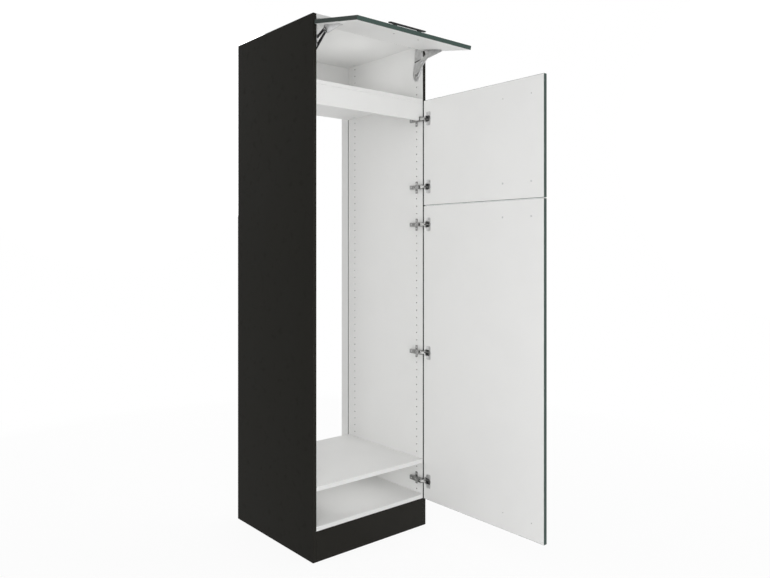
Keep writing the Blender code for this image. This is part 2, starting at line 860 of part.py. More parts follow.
def build_hinges(root, door_pivots, steel, dark_steel):
    plate, arm, cup = plate_mesh(), arm_mesh(), cup_mesh()
    short_link, long_link = short_link_mesh(), long_link_mesh()
    short_turn = (0, 0, heading(short_base, short_pin_opened))
    long_turn = (0, 0, heading(long_base, long_pin_opened))
    for door, (bottom, top, hinges) in door_heights.items():
        for i, centre in enumerate(hinges):
            tag = door.split('_')[0] + '_hinge_' + str(i + 1)
            place_object(tag + '_plate', plate, steel, root, (0, 0, centre))
            place_object(tag + '_arm', arm, steel, root, (0, 0, centre))
            short_place = (short_base.x, short_base.y, centre)
            place_object(tag + '_short_link', short_link, dark_steel, root, short_place, short_turn)
            long_place = (long_base.x, long_base.y, centre)
            place_object(tag + '_long_link', long_link, dark_steel, root, long_place, long_turn)
            place_object(tag + '_cup', cup, steel, door_pivots[door], (0, 0, centre))


# Flap, modelled in (x, distance behind its inner face, distance down from its top edge)
def flap_closed(inset, height):
    """Where a point of the flap lies when it is shut, seen from the side as (y, z)."""
    return Vector((-flap_closed_gap + height, cabinet_height - flap_top_inset - inset))


def flap_opened(inset, height):
    corner = Vector((-flap_open_setback, cabinet_height - flap_open_drop))
    offset = Vector((height, -inset))
    offset.rotate(Matrix.Rotation(-flap_turn, 2))
    return corner + offset


downward = Vector((0, -1))
lever_pin_closed = flap_closed(lever_pin_inset, lever_pin_height)
lever_pin_opened = flap_opened(lever_pin_inset, lever_pin_height)
lever_base = link_base(lever_pin_closed, lever_pin_opened, lever_length, downward)
stay_pin_closed = flap_closed(stay_pin_inset, stay_pin_height)
stay_pin_opened = flap_opened(stay_pin_inset, stay_pin_height)
stay_base = link_base(stay_pin_closed, stay_pin_opened, stay_length, downward)

# Layers of a lift fitting, as distances from the inner face of its side panel
body_layer = (seam, seam + lift_body_thickness)
stay_layer = (body_layer[1] + lift_gap, body_layer[1] + lift_gap + lift_plate)
lever_layer = (stay_layer[1] + lift_gap, stay_layer[1] + lift_gap + lift_plate)
bracket_layer = (lever_layer[1] + lift_gap, lever_layer[1] + lift_gap + bracket_plate)


def layer_span(side, layer):
    """World x range of a layer, for the left (-1) or the right (1) fitting."""
    face = inner_left if side < 0 else inner_right
    return sorted(face - side * distance for distance in layer)


def lift_body_mesh(side):
    """A base plate with screw ears and the spring casing on it; two pins stand out for lever and stay."""
    top = row_height(0)
    bottom = row_height(lift_rows_apart)
    ear_back = row_front_inset + lift_ear_radius
    outline = [
        (lift_front_inset, top + lift_ear_radius),
        (ear_back, top + lift_ear_radius),
        (ear_back, stay_base.y),
        (lift_heel_depth, lever_base.y + lever_hub_radius),
        (lift_heel_depth, bottom + lift_ear_radius),
        (ear_back, bottom - lift_ear_radius),
        (row_front_inset - lift_ear_radius, bottom - lift_ear_radius),
        (lift_front_inset, stay_base.y - lift_shoulder),
    ]
    bm = bmesh.new()
    base_top = body_layer[0] + lift_base_thickness
    base = layer_span(side, (body_layer[0], base_top))
    add_prism(bm, rounded_outline(outline, lift_round, 3), side_view, *base)
    mesh = finish_mesh(bm, 'lift_body')
    casing = bmesh.new()
    margin = lift_base_margin
    shell = [
        (lift_front_inset + margin, top - lift_ear_radius),
        (ear_back - margin, top - lift_ear_radius - margin),
        (ear_back - margin, stay_base.y),
        (lift_heel_depth - margin, lever_base.y + lever_hub_radius - margin),
        (lift_heel_depth - margin, bottom + 2 * lift_ear_radius),
        (row_front_inset - lift_ear_radius - margin, bottom + lift_ear_radius + margin),
        (lift_front_inset + margin, stay_base.y - lift_shoulder + margin),
    ]
    casing_layer = (body_layer[0] + lift_base_thickness / 2, body_layer[1])
    add_prism(casing, rounded_outline(shell, lift_round, 3), side_view, *layer_span(side, casing_layer))
    mesh = fuse(mesh, casing)
    pins = bmesh.new()
    inside = body_layer[1] - lift_plate
    for base_point, layer in ((lever_base, lever_layer), (stay_base, stay_layer)):
        low, high = layer_span(side, (inside, layer[1] - lift_pin_recess))
        add_pin(pins, (low, *base_point), (high, *base_point), lift_pin_radius, lift_sides)
    mesh = fuse(mesh, pins)
    screws = bmesh.new()
    seat_x = sum(layer_span(side, (base_top - seam, base_top - seam))) / 2
    for height in (top, bottom):
        seat = (seat_x, row_front_inset, height)
        add_screw(screws, seat, (-side, 0, 0), *panel_screw_head, *panel_screw_shank)
    return fuse(mesh, screws)


def lift_arm_mesh(length, base_radius, tip_radius, tip_hole):
    """A flat arm from its fixed pin along Y, with an eye at each end, one plate thick along X."""
    bm = bmesh.new()
    outline = link_outline((0, 0), (length, 0), base_radius, tip_radius, 8)
    add_prism(bm, outline, side_view, -lift_plate / 2, lift_plate / 2)
    holes = bmesh.new()
    reach = lift_plate / 2 + overrun
    for y, radius in ((0, lift_pin_radius + lift_pin_clearance), (length, tip_hole)):
        add_pin(holes, (-reach, y, 0), (reach, y, 0), radius, lift_sides)
    return cut(finish_mesh(bm, 'lift_arm'), holes)


def to_flap(inset, height):
    """A side-view point of the flap about the lever's pin."""
    return height - lever_pin_height, lever_pin_inset - inset


def bracket_screw_places(side):
    """(x, distance from the flap's top edge) of a bracket's screws."""
    middle = bracket_layer[1] + bracket_flange_width / 2
    x = sum(layer_span(side, (middle, middle))) / 2
    for share in bracket_screw_shares:
        yield x, bracket_start + share * (bracket_end - bracket_start)


def bracket_mesh(side):
    """An angle bracket: a tapering plate that carries two pins and a flange on the flap's inner face."""
    bm = bmesh.new()
    outline = [
        to_flap(bracket_start, seam),
        to_flap(bracket_end, seam),
        to_flap(bracket_end, bracket_tail),
        to_flap(lever_pin_inset + bracket_tip_width, lever_pin_height + lever_eye_radius),
        to_flap(lever_pin_inset - lever_eye_radius, lever_pin_height + lever_eye_radius),
    ]
    add_prism(bm, rounded_outline(outline, bracket_round, 3), side_view, *layer_span(side, bracket_layer))
    mesh = finish_mesh(bm, 'flap_bracket')
    flange = bmesh.new()
    x_low, x_high = layer_span(side, (bracket_layer[0], bracket_layer[1] + bracket_flange_width))
    y_low, z_high = to_flap(bracket_start + bracket_round, seam)
    y_high, z_low = to_flap(bracket_end - bracket_round, seam + bracket_flange_thickness)
    add_box(flange, (x_low, y_low, z_low), (x_high, y_high, z_high))
    mesh = fuse(mesh, flange)
    pins = bmesh.new()
    inside = (bracket_layer[0] + bracket_layer[1]) / 2
    for pin, layer in (
        (to_flap(lever_pin_inset, lever_pin_height), lever_layer),
        (to_flap(stay_pin_inset, stay_pin_height), stay_layer),
    ):
        low, high = layer_span(side, (layer[0] + lift_pin_recess, inside))
        add_pin(pins, (low, *pin), (high, *pin), lift_pin_radius, lift_sides)
    mesh = fuse(mesh, pins)
    screws = bmesh.new()
    head = (front_screw_head_radius, front_screw_head_height)
    for x, inset in bracket_screw_places(side):
        y_seat, z = to_flap(inset, bracket_flange_thickness)
        add_screw(screws, (x, y_seat, z), (0, 1, 0), *head, front_screw_radius, front_screw_length)
    return fuse(mesh, screws)


def build_lifts(root, pivot, steel, dark_steel):
    lever_turn = heading(lever_base, lever_pin_opened)
    stay_turn = heading(stay_base, stay_pin_opened)
    lever_tip = lift_pin_radius + lift_pin_clearance
    stay_tip = lift_pin_radius + stay_play
    lever = lift_arm_mesh(lever_length, lever_hub_radius, lever_eye_radius, lever_tip)
    stay = lift_arm_mesh(stay_length, stay_eye_radius, stay_eye_radius, stay_tip)
    for side, tag in ((-1, 'left'), (1, 'right')):
        place_object('lift_body_' + tag, lift_body_mesh(side), steel, root)
        x = sum(layer_span(side, lever_layer)) / 2
        place_object('lift_lever_' + tag, lever, dark_steel, root, (x, *lever_base), (lever_turn, 0, 0))
        x = sum(layer_span(side, stay_layer)) / 2
        place_object('lift_stay_' + tag, stay, steel, root, (x, *stay_base), (stay_turn, 0, 0))
        place_object('flap_bracket_' + tag, bracket_mesh(side), steel, pivot)


def build_flap(root, front, black, steel, handle, screw):
    pivot = place_empty('flap_pivot', root, (0, *lever_pin_opened), (-flap_turn, 0, 0))
    y_out, z_high = to_flap(0, -front_thickness)
    y_in, z_low = to_flap(flap_height, 0)
    bm = bmesh.new()
    add_box(bm, (front_reveal, y_out, z_low), (cabinet_width - front_reveal, y_in, z_high))
    mesh = finish_mesh(bm, 'flap')
    cutters = bmesh.new()
    for side in (-1, 1):
        for x, inset in bracket_screw_places(side):
            y_start, z = to_flap(inset, overrun)
            y_end, z = to_flap(inset, -front_screw_length - seam)
            radius = front_screw_radius + screw_clearance
            add_pin(cutters, (x, y_start, z), (x, y_end, z), radius, screw_sides)
    handle_inset = flap_height - handle_row_inset
    for i, side in enumerate((-1, 1)):
        x = cabinet_width / 2 + side * handle_spacing / 2
        y_start, z = to_flap(handle_inset, overrun)
        y_end, z = to_flap(handle_inset, -front_thickness - overrun)
        radius = handle_screw_radius + screw_clearance
        add_pin(cutters, (x, y_start, z), (x, y_end, z), radius, screw_sides)
        seat = (x, y_start - overrun + seam, z)
        place_object('flap_handle_screw_' + str(i + 1), screw, steel, pivot, seat, (-math.pi / 2, 0, 0))
    place_object('flap', cut(mesh, cutters), front, pivot)
    y_seat, z = to_flap(handle_inset, -front_thickness - seam)
    place_object('flap_handle', handle, black, pivot, (cabinet_width / 2, y_seat, z), (math.pi / 2, 0, 0))
    return pivot


def print_joints():
    """Axis places about the origin and the angle from shut to open, for each joint."""
    shift = Vector((-cabinet_width / 2, -board / 2))
    for name, place, closed, opened in (
        ('short hinge links', short_base, short_pin_closed, short_pin_opened),
        ('long hinge links', long_base, long_pin_closed, long_pin_opened),
    ):
        turn = math.degrees(turned(closed, opened, place))
        print(name, 'x %.6f y %.6f' % tuple(place + shift), 'turn %.4f' % turn)
    print('door pins x %.6f y %.6f' % tuple(short_pin_opened + shift))
    for name, place, closed, opened in (
        ('lift levers', lever_base, lever_pin_closed, lever_pin_opened),
        ('lift stays', stay_base, stay_pin_closed, stay_pin_opened),
    ):
        turn = math.degrees(turned(closed, opened, place))
        print(name, 'y %.6f z %.6f' % (place.x + shift.y, place.y), 'turn %.4f' % turn)
    print('flap pins y %.6f z %.6f' % (lever_pin_opened.x + shift.y, lever_pin_opened.y))


def main():
    for item in list(bpy.data.objects):
        bpy.data.objects.remove(item)
    inside = make_material('white_board', (0.62, 0.62, 0.60), 0.45)
    outside = make_material('dark_board', (0.022, 0.020, 0.017), 0.50)
    front = make_material('front_board', (0.17, 0.21, 0.18), 0.50)
    steel = make_material('bright_steel', (0.60, 0.60, 0.60), 0.30, 1.0)
    dark_steel = make_material('dark_steel', (0.25, 0.25, 0.25), 0.35, 1.0)
    black = make_material('black_metal', (0.010, 0.010, 0.010), 0.40)

    root = place_empty('cabinet', None, (-cabinet_width / 2, -board / 2, 0))
    build_carcass(root, inside, outside)
    handle, screw = handle_mesh(), handle_screw_mesh()
    door_pivots = {name: build_door(name, root, front, black, steel, handle, screw) for name in door_heights}
    build_hinges(root, door_pivots, steel, dark_steel)
    flap_pivot = build_flap(root, front, black, steel, handle, screw)
    build_lifts(root, flap_pivot, steel, dark_steel)
    print_joints()


main()
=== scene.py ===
import json
import math

import bmesh
import bpy
from mathutils import Matrix, Vector


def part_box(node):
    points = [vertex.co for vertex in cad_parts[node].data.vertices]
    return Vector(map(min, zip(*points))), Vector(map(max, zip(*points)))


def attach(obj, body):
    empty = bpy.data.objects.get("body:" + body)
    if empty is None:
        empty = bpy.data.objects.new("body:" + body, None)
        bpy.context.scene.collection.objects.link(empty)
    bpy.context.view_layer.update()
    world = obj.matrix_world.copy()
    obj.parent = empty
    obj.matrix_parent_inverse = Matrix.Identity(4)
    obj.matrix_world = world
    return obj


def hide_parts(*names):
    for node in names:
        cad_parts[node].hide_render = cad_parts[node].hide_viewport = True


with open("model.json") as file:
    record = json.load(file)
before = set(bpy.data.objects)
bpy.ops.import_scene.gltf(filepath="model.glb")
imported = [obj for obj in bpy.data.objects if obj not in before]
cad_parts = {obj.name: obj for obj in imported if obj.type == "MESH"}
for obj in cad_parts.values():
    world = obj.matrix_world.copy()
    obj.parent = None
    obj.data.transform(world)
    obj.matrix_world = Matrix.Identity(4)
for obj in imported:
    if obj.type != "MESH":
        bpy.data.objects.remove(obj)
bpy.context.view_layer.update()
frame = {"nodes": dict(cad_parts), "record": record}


# A socket that can be used in sums and products
class Wire:
    def __init__(self, graph, socket):
        self.graph = graph
        self.socket = socket

    def math(self, operation, first, second):
        return self.graph.node('ShaderNodeMath', {'operation': operation}, {0: first, 1: second})

    def __add__(self, other):
        return self.math('ADD', self, other)

    def __sub__(self, other):
        return self.math('SUBTRACT', self, other)

    def __rsub__(self, other):
        return self.math('SUBTRACT', other, self)

    def __mul__(self, other):
        return self.math('MULTIPLY', self, other)

    __radd__ = __add__
    __rmul__ = __mul__

    def most(self, other):
        return self.math('MAXIMUM', self, other)

    # How far a pattern is from its middle, scaled
    def swing(self, amount):
        return (self - 0.5) * amount

    # From 0 at low to 1 at high, smoothly
    def ramp(self, low, high):
        settings = {'interpolation_type': 'SMOOTHSTEP'}
        return self.graph.node('ShaderNodeMapRange', settings, Value=self, From_Min=low, From_Max=high)


# A node tree in the making, for a finish or for Geometry Nodes
class Graph:
    def __init__(self, tree):
        self.tree = tree

    # Sockets are given by number in values, or by name, with _ for a blank
    def node(self, kind, settings=None, values=None, output=0, **named):
        item = self.tree.nodes.new(kind)
        for key, value in (settings or {}).items():
            setattr(item, key, value)
        for place, value in (values or {}).items():
            self.feed(item.inputs[place], value)
        for name, value in named.items():
            self.feed(item.inputs[name.replace('_', ' ')], value)
        return Wire(self, item.outputs[output])

    def feed(self, socket, value):
        if isinstance(value, list):
            for one in value:
                self.tree.links.new(one.socket, socket)
        elif isinstance(value, Wire):
            self.tree.links.new(value.socket, socket)
        elif socket.type == 'RGBA':
            socket.default_value = (*value, 1.0)
        else:
            socket.default_value = value


class Finish(Graph):
    def __init__(self, name):
        self.material = bpy.data.materials.new(name)
        self.material.use_nodes = True
        super().__init__(self.material.node_tree)
        self.shader = self.tree.nodes['Principled BSDF']

    def place(self):
        return self.node('ShaderNodeTexCoord', output='Object')

    def attribute(self, name):
        return self.node('ShaderNodeAttribute', {'attribute_name': name}, output='Fac')

    def noise(self, scale, detail, stretch=(1, 1, 1)):
        grid = self.node('ShaderNodeMapping', Vector=self.place(), Scale=stretch)
        return self.node('ShaderNodeTexNoise', Vector=grid, Scale=scale, Detail=detail)

    def cells(self, scale):
        return self.node('ShaderNodeTexVoronoi', Vector=self.place(), Scale=scale)

    # Where an edge is worn, in a broken line
    def wear(self, pattern):
        return self.attribute('rim') * self.noise(*pattern['noise']).ramp(*pattern['ramp'])

    # Sockets 6, 7 and output 2 are the colours of this node
    def mix(self, share, first, second):
        return self.node('ShaderNodeMix', {'data_type': 'RGBA'}, {0: share, 6: first, 7: second}, 2)

    def bump(self, height, distance, strength, normal=None):
        under = {'Normal': normal} if normal else {}
        return self.node('ShaderNodeBump', Height=height, Distance=distance, Strength=strength, **under)

    def set(self, **sockets):
        for name, value in sockets.items():
            self.feed(self.shader.inputs[name.replace('_', ' ')], value)
        return self.material


def tinted(colour, factor):
    return tuple(min(1.0, value * factor) for value in colour)


# Coated boards: pearl grain, faint clouds, and edges rubbed a little lighter
boardLooks = {
    'white': {'colour': (0.830, 0.830, 0.820), 'shade': (0.820, 0.820, 0.810), 'rough': 0.46,
              'pearl': 0.00003, 'gloss': 0.25},
    'dark': {'colour': (0.0072, 0.0067, 0.0046), 'shade': (0.0084, 0.0078, 0.0055), 'rough': 0.56,
             'pearl': 0.00005, 'gloss': 0.08},
    # The facing tone is the dark board painted lighter for the plinth and the front edges, as painted light
    'facing': {'colour': (0.0150, 0.0141, 0.0115), 'shade': (0.0172, 0.0162, 0.0134), 'rough': 0.52,
               'pearl': 0.00005, 'gloss': 0.10},
    'front': {'colour': (0.056, 0.088, 0.077), 'shade': (0.060, 0.093, 0.0815), 'rough': 0.48,
              'pearl': 0.00004, 'gloss': 0.15},
    # The band tone is the front colour darkened for the short edges of doors and flap, as painted shade
    'band': {'colour': (0.032, 0.042, 0.038), 'shade': (0.039, 0.050, 0.045), 'rough': 0.50,
             'pearl': 0.00004, 'gloss': 0.15},
    'pearl': {'noise': (1500, 2.0), 'ramp': (0.58, 0.74), 'tint': 0.84, 'share': 0.22, 'uneven': 0.12,
              'relief': 0.6},
    'cloud': {'noise': (5, 4.0), 'ramp': (0.38, 0.64), 'uneven': 0.10},
    'scuff': {'noise': (36, 5.0), 'ramp': (0.56, 0.72), 'uneven': 0.08},
    'rubbed': {'noise': (170, 3.0), 'ramp': (0.36, 0.62), 'tint': 1.30, 'share': 0.6, 'uneven': 0.08},
    'wave': {'noise': (22, 2.0), 'depth': 0.0003, 'relief': 0.12},
}


def boardFinish(name, look):
    finish = Finish(name)
    grain, clouds, wave = boardLooks['pearl'], boardLooks['cloud'], boardLooks['wave']
    scuffs, rims = boardLooks['scuff'], boardLooks['rubbed']
    pearl = finish.noise(*grain['noise'])
    cloud = finish.noise(*clouds['noise'])
    scuff = finish.noise(*scuffs['noise']).ramp(*scuffs['ramp'])
    rubbed = finish.wear(rims)
    colour = finish.mix(cloud.ramp(*clouds['ramp']), look['colour'], look['shade'])
    share = pearl.ramp(*grain['ramp']) * grain['share']
    colour = finish.mix(share, colour, tinted(look['colour'], grain['tint']))
    colour = finish.mix(rubbed * rims['share'], colour, tinted(look['colour'], rims['tint']))
    rough = look['rough'] + cloud.swing(clouds['uneven']) + pearl.swing(grain['uneven'])
    rough = rough + scuff * scuffs['uneven'] - rubbed * rims['uneven']
    normal = finish.bump(pearl, look['pearl'], grain['relief'])
    normal = finish.bump(finish.noise(*wave['noise']), wave['depth'], wave['relief'], normal)
    return finish.set(Base_Color=colour, Roughness=rough, Normal=normal, Specular_IOR_Level=look['gloss'])


# The cut chipboard inside bores and grooves, its chip and glue colours darkened as painted shade in the
# hollows
chipShadeLooks = {
    'chip': (0.036, 0.029, 0.022),
    'glue': (0.018, 0.014, 0.010),
    'chipSize': 420,
    'fibre': (900, 4.0, (1.0, 1.0, 0.3)),
    'shares': (0.7, 0.5),
    'ramp': (0.35, 0.75),
    'rough': 0.85,
    'uneven': 0.2,
    'depth': 0.0003,
    'relief': 0.8,
}


def chipShadeFinish(name):
    finish = Finish(name)
    chip = finish.cells(chipShadeLooks['chipSize'])
    fibre = finish.noise(*chipShadeLooks['fibre'])
    share = (chip * chipShadeLooks['shares'][0] + fibre * chipShadeLooks['shares'][1]).ramp(*chipShadeLooks['ramp'])
    colour = finish.mix(share, chipShadeLooks['chip'], chipShadeLooks['glue'])
    rough = chipShadeLooks['rough'] + fibre.swing(chipShadeLooks['uneven'])
    normal = finish.bump(chip, chipShadeLooks['depth'], chipShadeLooks['relief'])
    return finish.set(Base_Color=colour, Roughness=rough, Normal=normal)


# Plated steel and die-cast zinc: rolling lines, clouds and brighter worn edges
metalLooks = {
    'arms': {'colour': (0.36, 0.36, 0.355), 'shade': (0.26, 0.26, 0.255), 'rough': 0.30,
             'grain': (1, 1, 0.05)},
    'links': {'colour': (0.72, 0.72, 0.71), 'shade': (0.58, 0.58, 0.57), 'rough': 0.28,
              'grain': (0.05, 1, 1)},
    # The sunk tone is the cup's steel darkened, as painted shade on the walls of its hollow
    'sunk': {'colour': (0.20, 0.20, 0.20), 'shade': (0.13, 0.13, 0.13), 'rough': 0.34,
             'grain': (0.05, 1, 1)},
    'cast': {'colour': (0.74, 0.74, 0.745), 'shade': (0.66, 0.66, 0.665), 'rough': 0.46,
             'grain': (1, 1, 1)},
    'plate': {'colour': (0.68, 0.68, 0.68), 'shade': (0.58, 0.58, 0.585), 'rough': 0.34,
              'grain': (1, 0.05, 1)},
    # The shade-black tone is steel painted dark, as painted shade on the left lift arms and in the lift
    # bodies' grooves
    'shadeBlack': {'colour': (0.055, 0.055, 0.057), 'shade': (0.035, 0.035, 0.037), 'rough': 0.40,
              'grain': (1, 1, 0.05)},
    'line': {'noise': (2600, 3.0), 'ramp': (0.52, 0.72), 'tint': 1.15, 'share': 0.4, 'uneven': 0.22,
             'depth': 0.00002, 'relief': 0.6},
    'cloud': {'noise': (85, 4.0), 'ramp': (0.36, 0.66), 'uneven': 0.16, 'depth': 0.0001, 'relief': 0.15},
    'worn': {'noise': (300, 3.0), 'ramp': (0.34, 0.60), 'tint': 1.35, 'share': 0.7, 'uneven': 0.06},
}


def metalFinish(name, look):
    finish = Finish(name)
    line, clouds, rims = metalLooks['line'], metalLooks['cloud'], metalLooks['worn']
    lines = finish.noise(*line['noise'], look['grain'])
    cloud = finish.noise(*clouds['noise'])
    worn = finish.wear(rims)
    colour = finish.mix(cloud.ramp(*clouds['ramp']), look['colour'], look['shade'])
    share = lines.ramp(*line['ramp']) * line['share']
    colour = finish.mix(share, colour, tinted(look['colour'], line['tint']))
    colour = finish.mix(worn * rims['share'], colour, tinted(look['colour'], rims['tint']))
    rough = look['rough'] + lines.swing(line['uneven']) + cloud.swing(clouds['uneven'])
    rough = rough - worn * rims['uneven']
    normal = finish.bump(lines, line['depth'], line['relief'])
    normal = finish.bump(cloud, clouds['depth'], clouds['relief'], normal)
    return finish.set(Base_Color=colour, Roughness=rough, Metallic=1.0, Normal=normal)


# Black powder coat: fine pebbles, clouds and greyed edges
powderLooks = {
    'colour': (0.0045, 0.0045, 0.0048),
    'shade': (0.0070, 0.0070, 0.0074),
    'rough': 0.50,
    'pebble': {'noise': (2200, 2.0), 'uneven': 0.30, 'depth': 0.00006, 'relief': 0.7},
    'cloud': {'noise': (45, 3.0), 'ramp': (0.35, 0.65), 'uneven': 0.10},
    'worn': {'noise': (240, 3.0), 'ramp': (0.42, 0.66), 'tint': 2.2, 'share': 0.5},
}


def powderFinish(name):
    finish = Finish(name)
    pebbles, clouds, rims = powderLooks['pebble'], powderLooks['cloud'], powderLooks['worn']
    pebble = finish.noise(*pebbles['noise'])
    cloud = finish.noise(*clouds['noise'])
    worn = finish.wear(rims)
    colour = finish.mix(cloud.ramp(*clouds['ramp']), powderLooks['colour'], powderLooks['shade'])
    colour = finish.mix(worn * rims['share'], colour, tinted(powderLooks['shade'], rims['tint']))
    rough = powderLooks['rough'] + pebble.swing(pebbles['uneven']) + cloud.swing(clouds['uneven'])
    normal = finish.bump(pebble, pebbles['depth'], pebbles['relief'])
    return finish.set(Base_Color=colour, Roughness=rough, Normal=normal)


whiteBoard = boardFinish('whiteBoard', boardLooks['white'])
darkBoard = boardFinish('darkBoard', boardLooks['dark'])
darkFacing = boardFinish('darkFacing', boardLooks['facing'])
frontBoard = boardFinish('frontBoard', boardLooks['front'])
frontEdgeShade = boardFinish('frontEdgeBand', boardLooks['band'])
chipWithShade = chipShadeFinish('rawChipboard')
armSteel = metalFinish('nickelPlatedArms', metalLooks['arms'])
linkSteel = metalFinish('hingeLinkSteel', metalLooks['links'])
castZinc = metalFinish('castZinc', metalLooks['cast'])
plateSteel = metalFinish('zincPlatedSteel', metalLooks['plate'])
sunkSteel = metalFinish('sunkCupSteel', metalLooks['sunk'])
shadeBlackSteel = metalFinish('blackenedSteel', metalLooks['shadeBlack'])
blackPowder = powderFinish('blackPowderCoat')

slotFinishes = {
    'white_board': whiteBoard,
    'dark_board': darkBoard,
    'front_board': frontBoard,
    'bright_steel': plateSteel,
    'dark_steel': linkSteel,
    'black_metal': blackPowder,
}
for part in frame["record"]["subparts"]:
    for holder in frame["nodes"][part['node']].material_slots:
        holder.material = slotFinishes[part['material_slot']]
print("finishes made")


# How many steps a curve takes, how many sides a round thing has, and what counts as an edge
curveSteps = {'bevel': 3, 'small': 6, 'corner': 8, 'casing': 10, 'end': 12, 'arm': 16, 'mouth': 18, 'hub': 40}
roundSides = {'drill': 16, 'pin': 24, 'well': 28, 'liftPin': 32, 'cam': 36, 'bore': 48, 'cup': 64}
creaseAngle = 32


# Outlines in a plane, as lists of points
def arc(centre, radius, start, end, steps):
    points = []
    for i in range(steps + 1):
        turn = start + (end - start) * i / steps
        points.append((centre[0] + radius * math.cos(turn), centre[1] + radius * math.sin(turn)))
    return points


def circle(centre, radius, steps):
    return arc(centre, radius, 0, 2 * math.pi, steps)[:-1]


def roundedOutline(corners, radius, steps):
    points = []
    for i, corner in enumerate(corners):
        here = Vector(corner)
        back = Vector(corners[i - 1]) - here
        ahead = Vector(corners[(i + 1) % len(corners)]) - here
        half = back.angle(ahead) / 2
        reach = min(radius / math.tan(half), back.length / 2, ahead.length / 2)
        middle = (back.normalized() + ahead.normalized()).normalized()
        centre = here + middle * reach / math.cos(half)
        start = here + back.normalized() * reach - centre
        end = here + ahead.normalized() * reach - centre
        turn = start.angle_signed(end)
        for k in range(steps + 1):
            spoke = start.copy()
            spoke.rotate(Matrix.Rotation(-turn * k / steps, 2))
            points.append(tuple(centre + spoke))
    return points


# Two round ends and the tangents between them
def linkOutline(first, second, firstRadius, secondRadius, steps):
    across = Vector(second) - Vector(first)
    heading = math.atan2(across.y, across.x)
    lean = math.acos((firstRadius - secondRadius) / across.length)
    near = arc(first, firstRadius, heading + lean, heading + 2 * math.pi - lean, steps)
    return near + arc(second, secondRadius, heading - lean, heading + lean, steps)


def rectangle(low, high):
    return [(low[0], low[1]), (high[0], low[1]), (high[0], high[1]), (low[0], high[1])]


# Solids in a bmesh, and the Booleans between them
planView = Matrix.Identity(4)
sideView = Matrix(((0, 0, 1, 0), (1, 0, 0, 0), (0, 1, 0, 0), (0, 0, 0, 1)))
frontView = Matrix(((1, 0, 0, 0), (0, 0, 1, 0), (0, 1, 0, 0), (0, 0, 0, 1)))


def addBox(bm, low, high):
    low, high = Vector(low), Vector(high)
    scale = Matrix.Diagonal((*(high - low), 1))
    bmesh.ops.create_cube(bm, size=1, matrix=Matrix.Translation((low + high) / 2) @ scale)


def addPrism(bm, outline, view, low, high):
    bottom = [bm.verts.new(view @ Vector((a, b, low))) for a, b in outline]
    top = [bm.verts.new(view @ Vector((a, b, high))) for a, b in outline]
    bm.faces.new(bottom)
    bm.faces.new(top)
    for i in range(len(outline)):
        bm.faces.new((bottom[i - 1], bottom[i], top[i], top[i - 1]))


# A turned solid: the profile holds (radius, height) from cap to cap
def addTurned(bm, base, axis, profile, sides):
    place = Matrix.Translation(base) @ Vector(axis).to_track_quat('Z', 'Y').to_matrix().to_4x4()
    rings = []
    for radius, height in profile:
        spokes = circle((0, 0), radius, sides)
        rings.append([bm.verts.new(place @ Vector((a, b, height))) for a, b in spokes])
    bm.faces.new(rings[0])
    bm.faces.new(rings[-1])
    for lower, upper in zip(rings, rings[1:]):
        for i in range(sides):
            bm.faces.new((lower[i - 1], lower[i], upper[i], upper[i - 1]))


def addPin(bm, start, end, radius, sides=roundSides['pin']):
    along = Vector(end) - Vector(start)
    addTurned(bm, start, along, ((radius, 0), (radius, along.length)), sides)


def closedMesh(bm):
    bmesh.ops.recalc_face_normals(bm, faces=bm.faces)
    mesh = bpy.data.meshes.new('solid')
    bm.to_mesh(mesh)
    bm.free()
    return mesh


# One shape by itself: addBox, addPrism, addTurned or addPin and what it needs
def shape(addShape, *sizes):
    bm = bmesh.new()
    addShape(bm, *sizes)
    return bm


def shapeMesh(addShape, *sizes):
    return closedMesh(shape(addShape, *sizes))


# The mesh after the modifiers that a function adds to it
def evaluated(mesh, addModifiers, helpers=()):
    item = bpy.data.objects.new('blank', mesh)
    for thing in (item, *helpers):
        bpy.context.scene.collection.objects.link(thing)
    addModifiers(item)
    bpy.context.view_layer.update()
    made = bpy.data.meshes.new_from_object(item.evaluated_get(bpy.context.evaluated_depsgraph_get()))
    for thing in (item, *helpers):
        bpy.data.objects.remove(thing)
    return made


def combined(mesh, tool, operation):
    helper = bpy.data.objects.new('tool', tool)

    def addBoolean(item):
        modifier = item.modifiers.new('boolean', 'BOOLEAN')
        modifier.operation = operation
        modifier.solver = 'EXACT'
        modifier.object = helper

    return evaluated(mesh, addBoolean, (helper,))


def cutFrom(mesh, bm):
    return combined(mesh, closedMesh(bm), 'DIFFERENCE')


def joinedTo(mesh, bm):
    return combined(mesh, closedMesh(bm), 'UNION')


def openSlots(mesh, count):
    mesh.materials.clear()
    for i in range(count):
        mesh.materials.append(None)


# Rounds the edges, and marks the new faces in the rim attribute, where the finish wears
def softened(mesh, width, segments=2, angle=creaseAngle):
    def addBevel(item):
        modifier = item.modifiers.new('bevel', 'BEVEL')
        modifier.width = width
        modifier.segments = segments
        modifier.limit_method = 'ANGLE'
        modifier.angle_limit = math.radians(angle)
        modifier.material = 1

    openSlots(mesh, 2)
    made = evaluated(mesh, addBevel)
    rim = made.attributes.new('rim', 'FLOAT', 'FACE')
    for face in made.polygons:
        rim.data[face.index].value = float(face.material_index == 1)
        face.material_index = 0
    made.materials.clear()
    return made


def smoothed(mesh, angle=creaseAngle):
    mesh.shade_smooth()
    mesh.set_sharp_from_angle(angle=math.radians(angle))
    return mesh


def eased(mesh, width, segments=2):
    return smoothed(softened(mesh, width, segments))


def placed(mesh, place):
    mesh.transform(place)
    return mesh


# One object from a mesh: its finishes, the body that it rides on and the nodes that it stands for
def addPiece(name, mesh, finishes, body, nodes=(), slotName='bright_steel'):
    mesh.name = name
    for i, material in enumerate(finishes):
        if i < len(mesh.materials):
            mesh.materials[i] = material
        else:
            mesh.materials.append(material)
    item = bpy.data.objects.new(name, mesh)
    bpy.context.scene.collection.objects.link(item)
    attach(item, body)
    if nodes:
        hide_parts(*nodes)
    return item


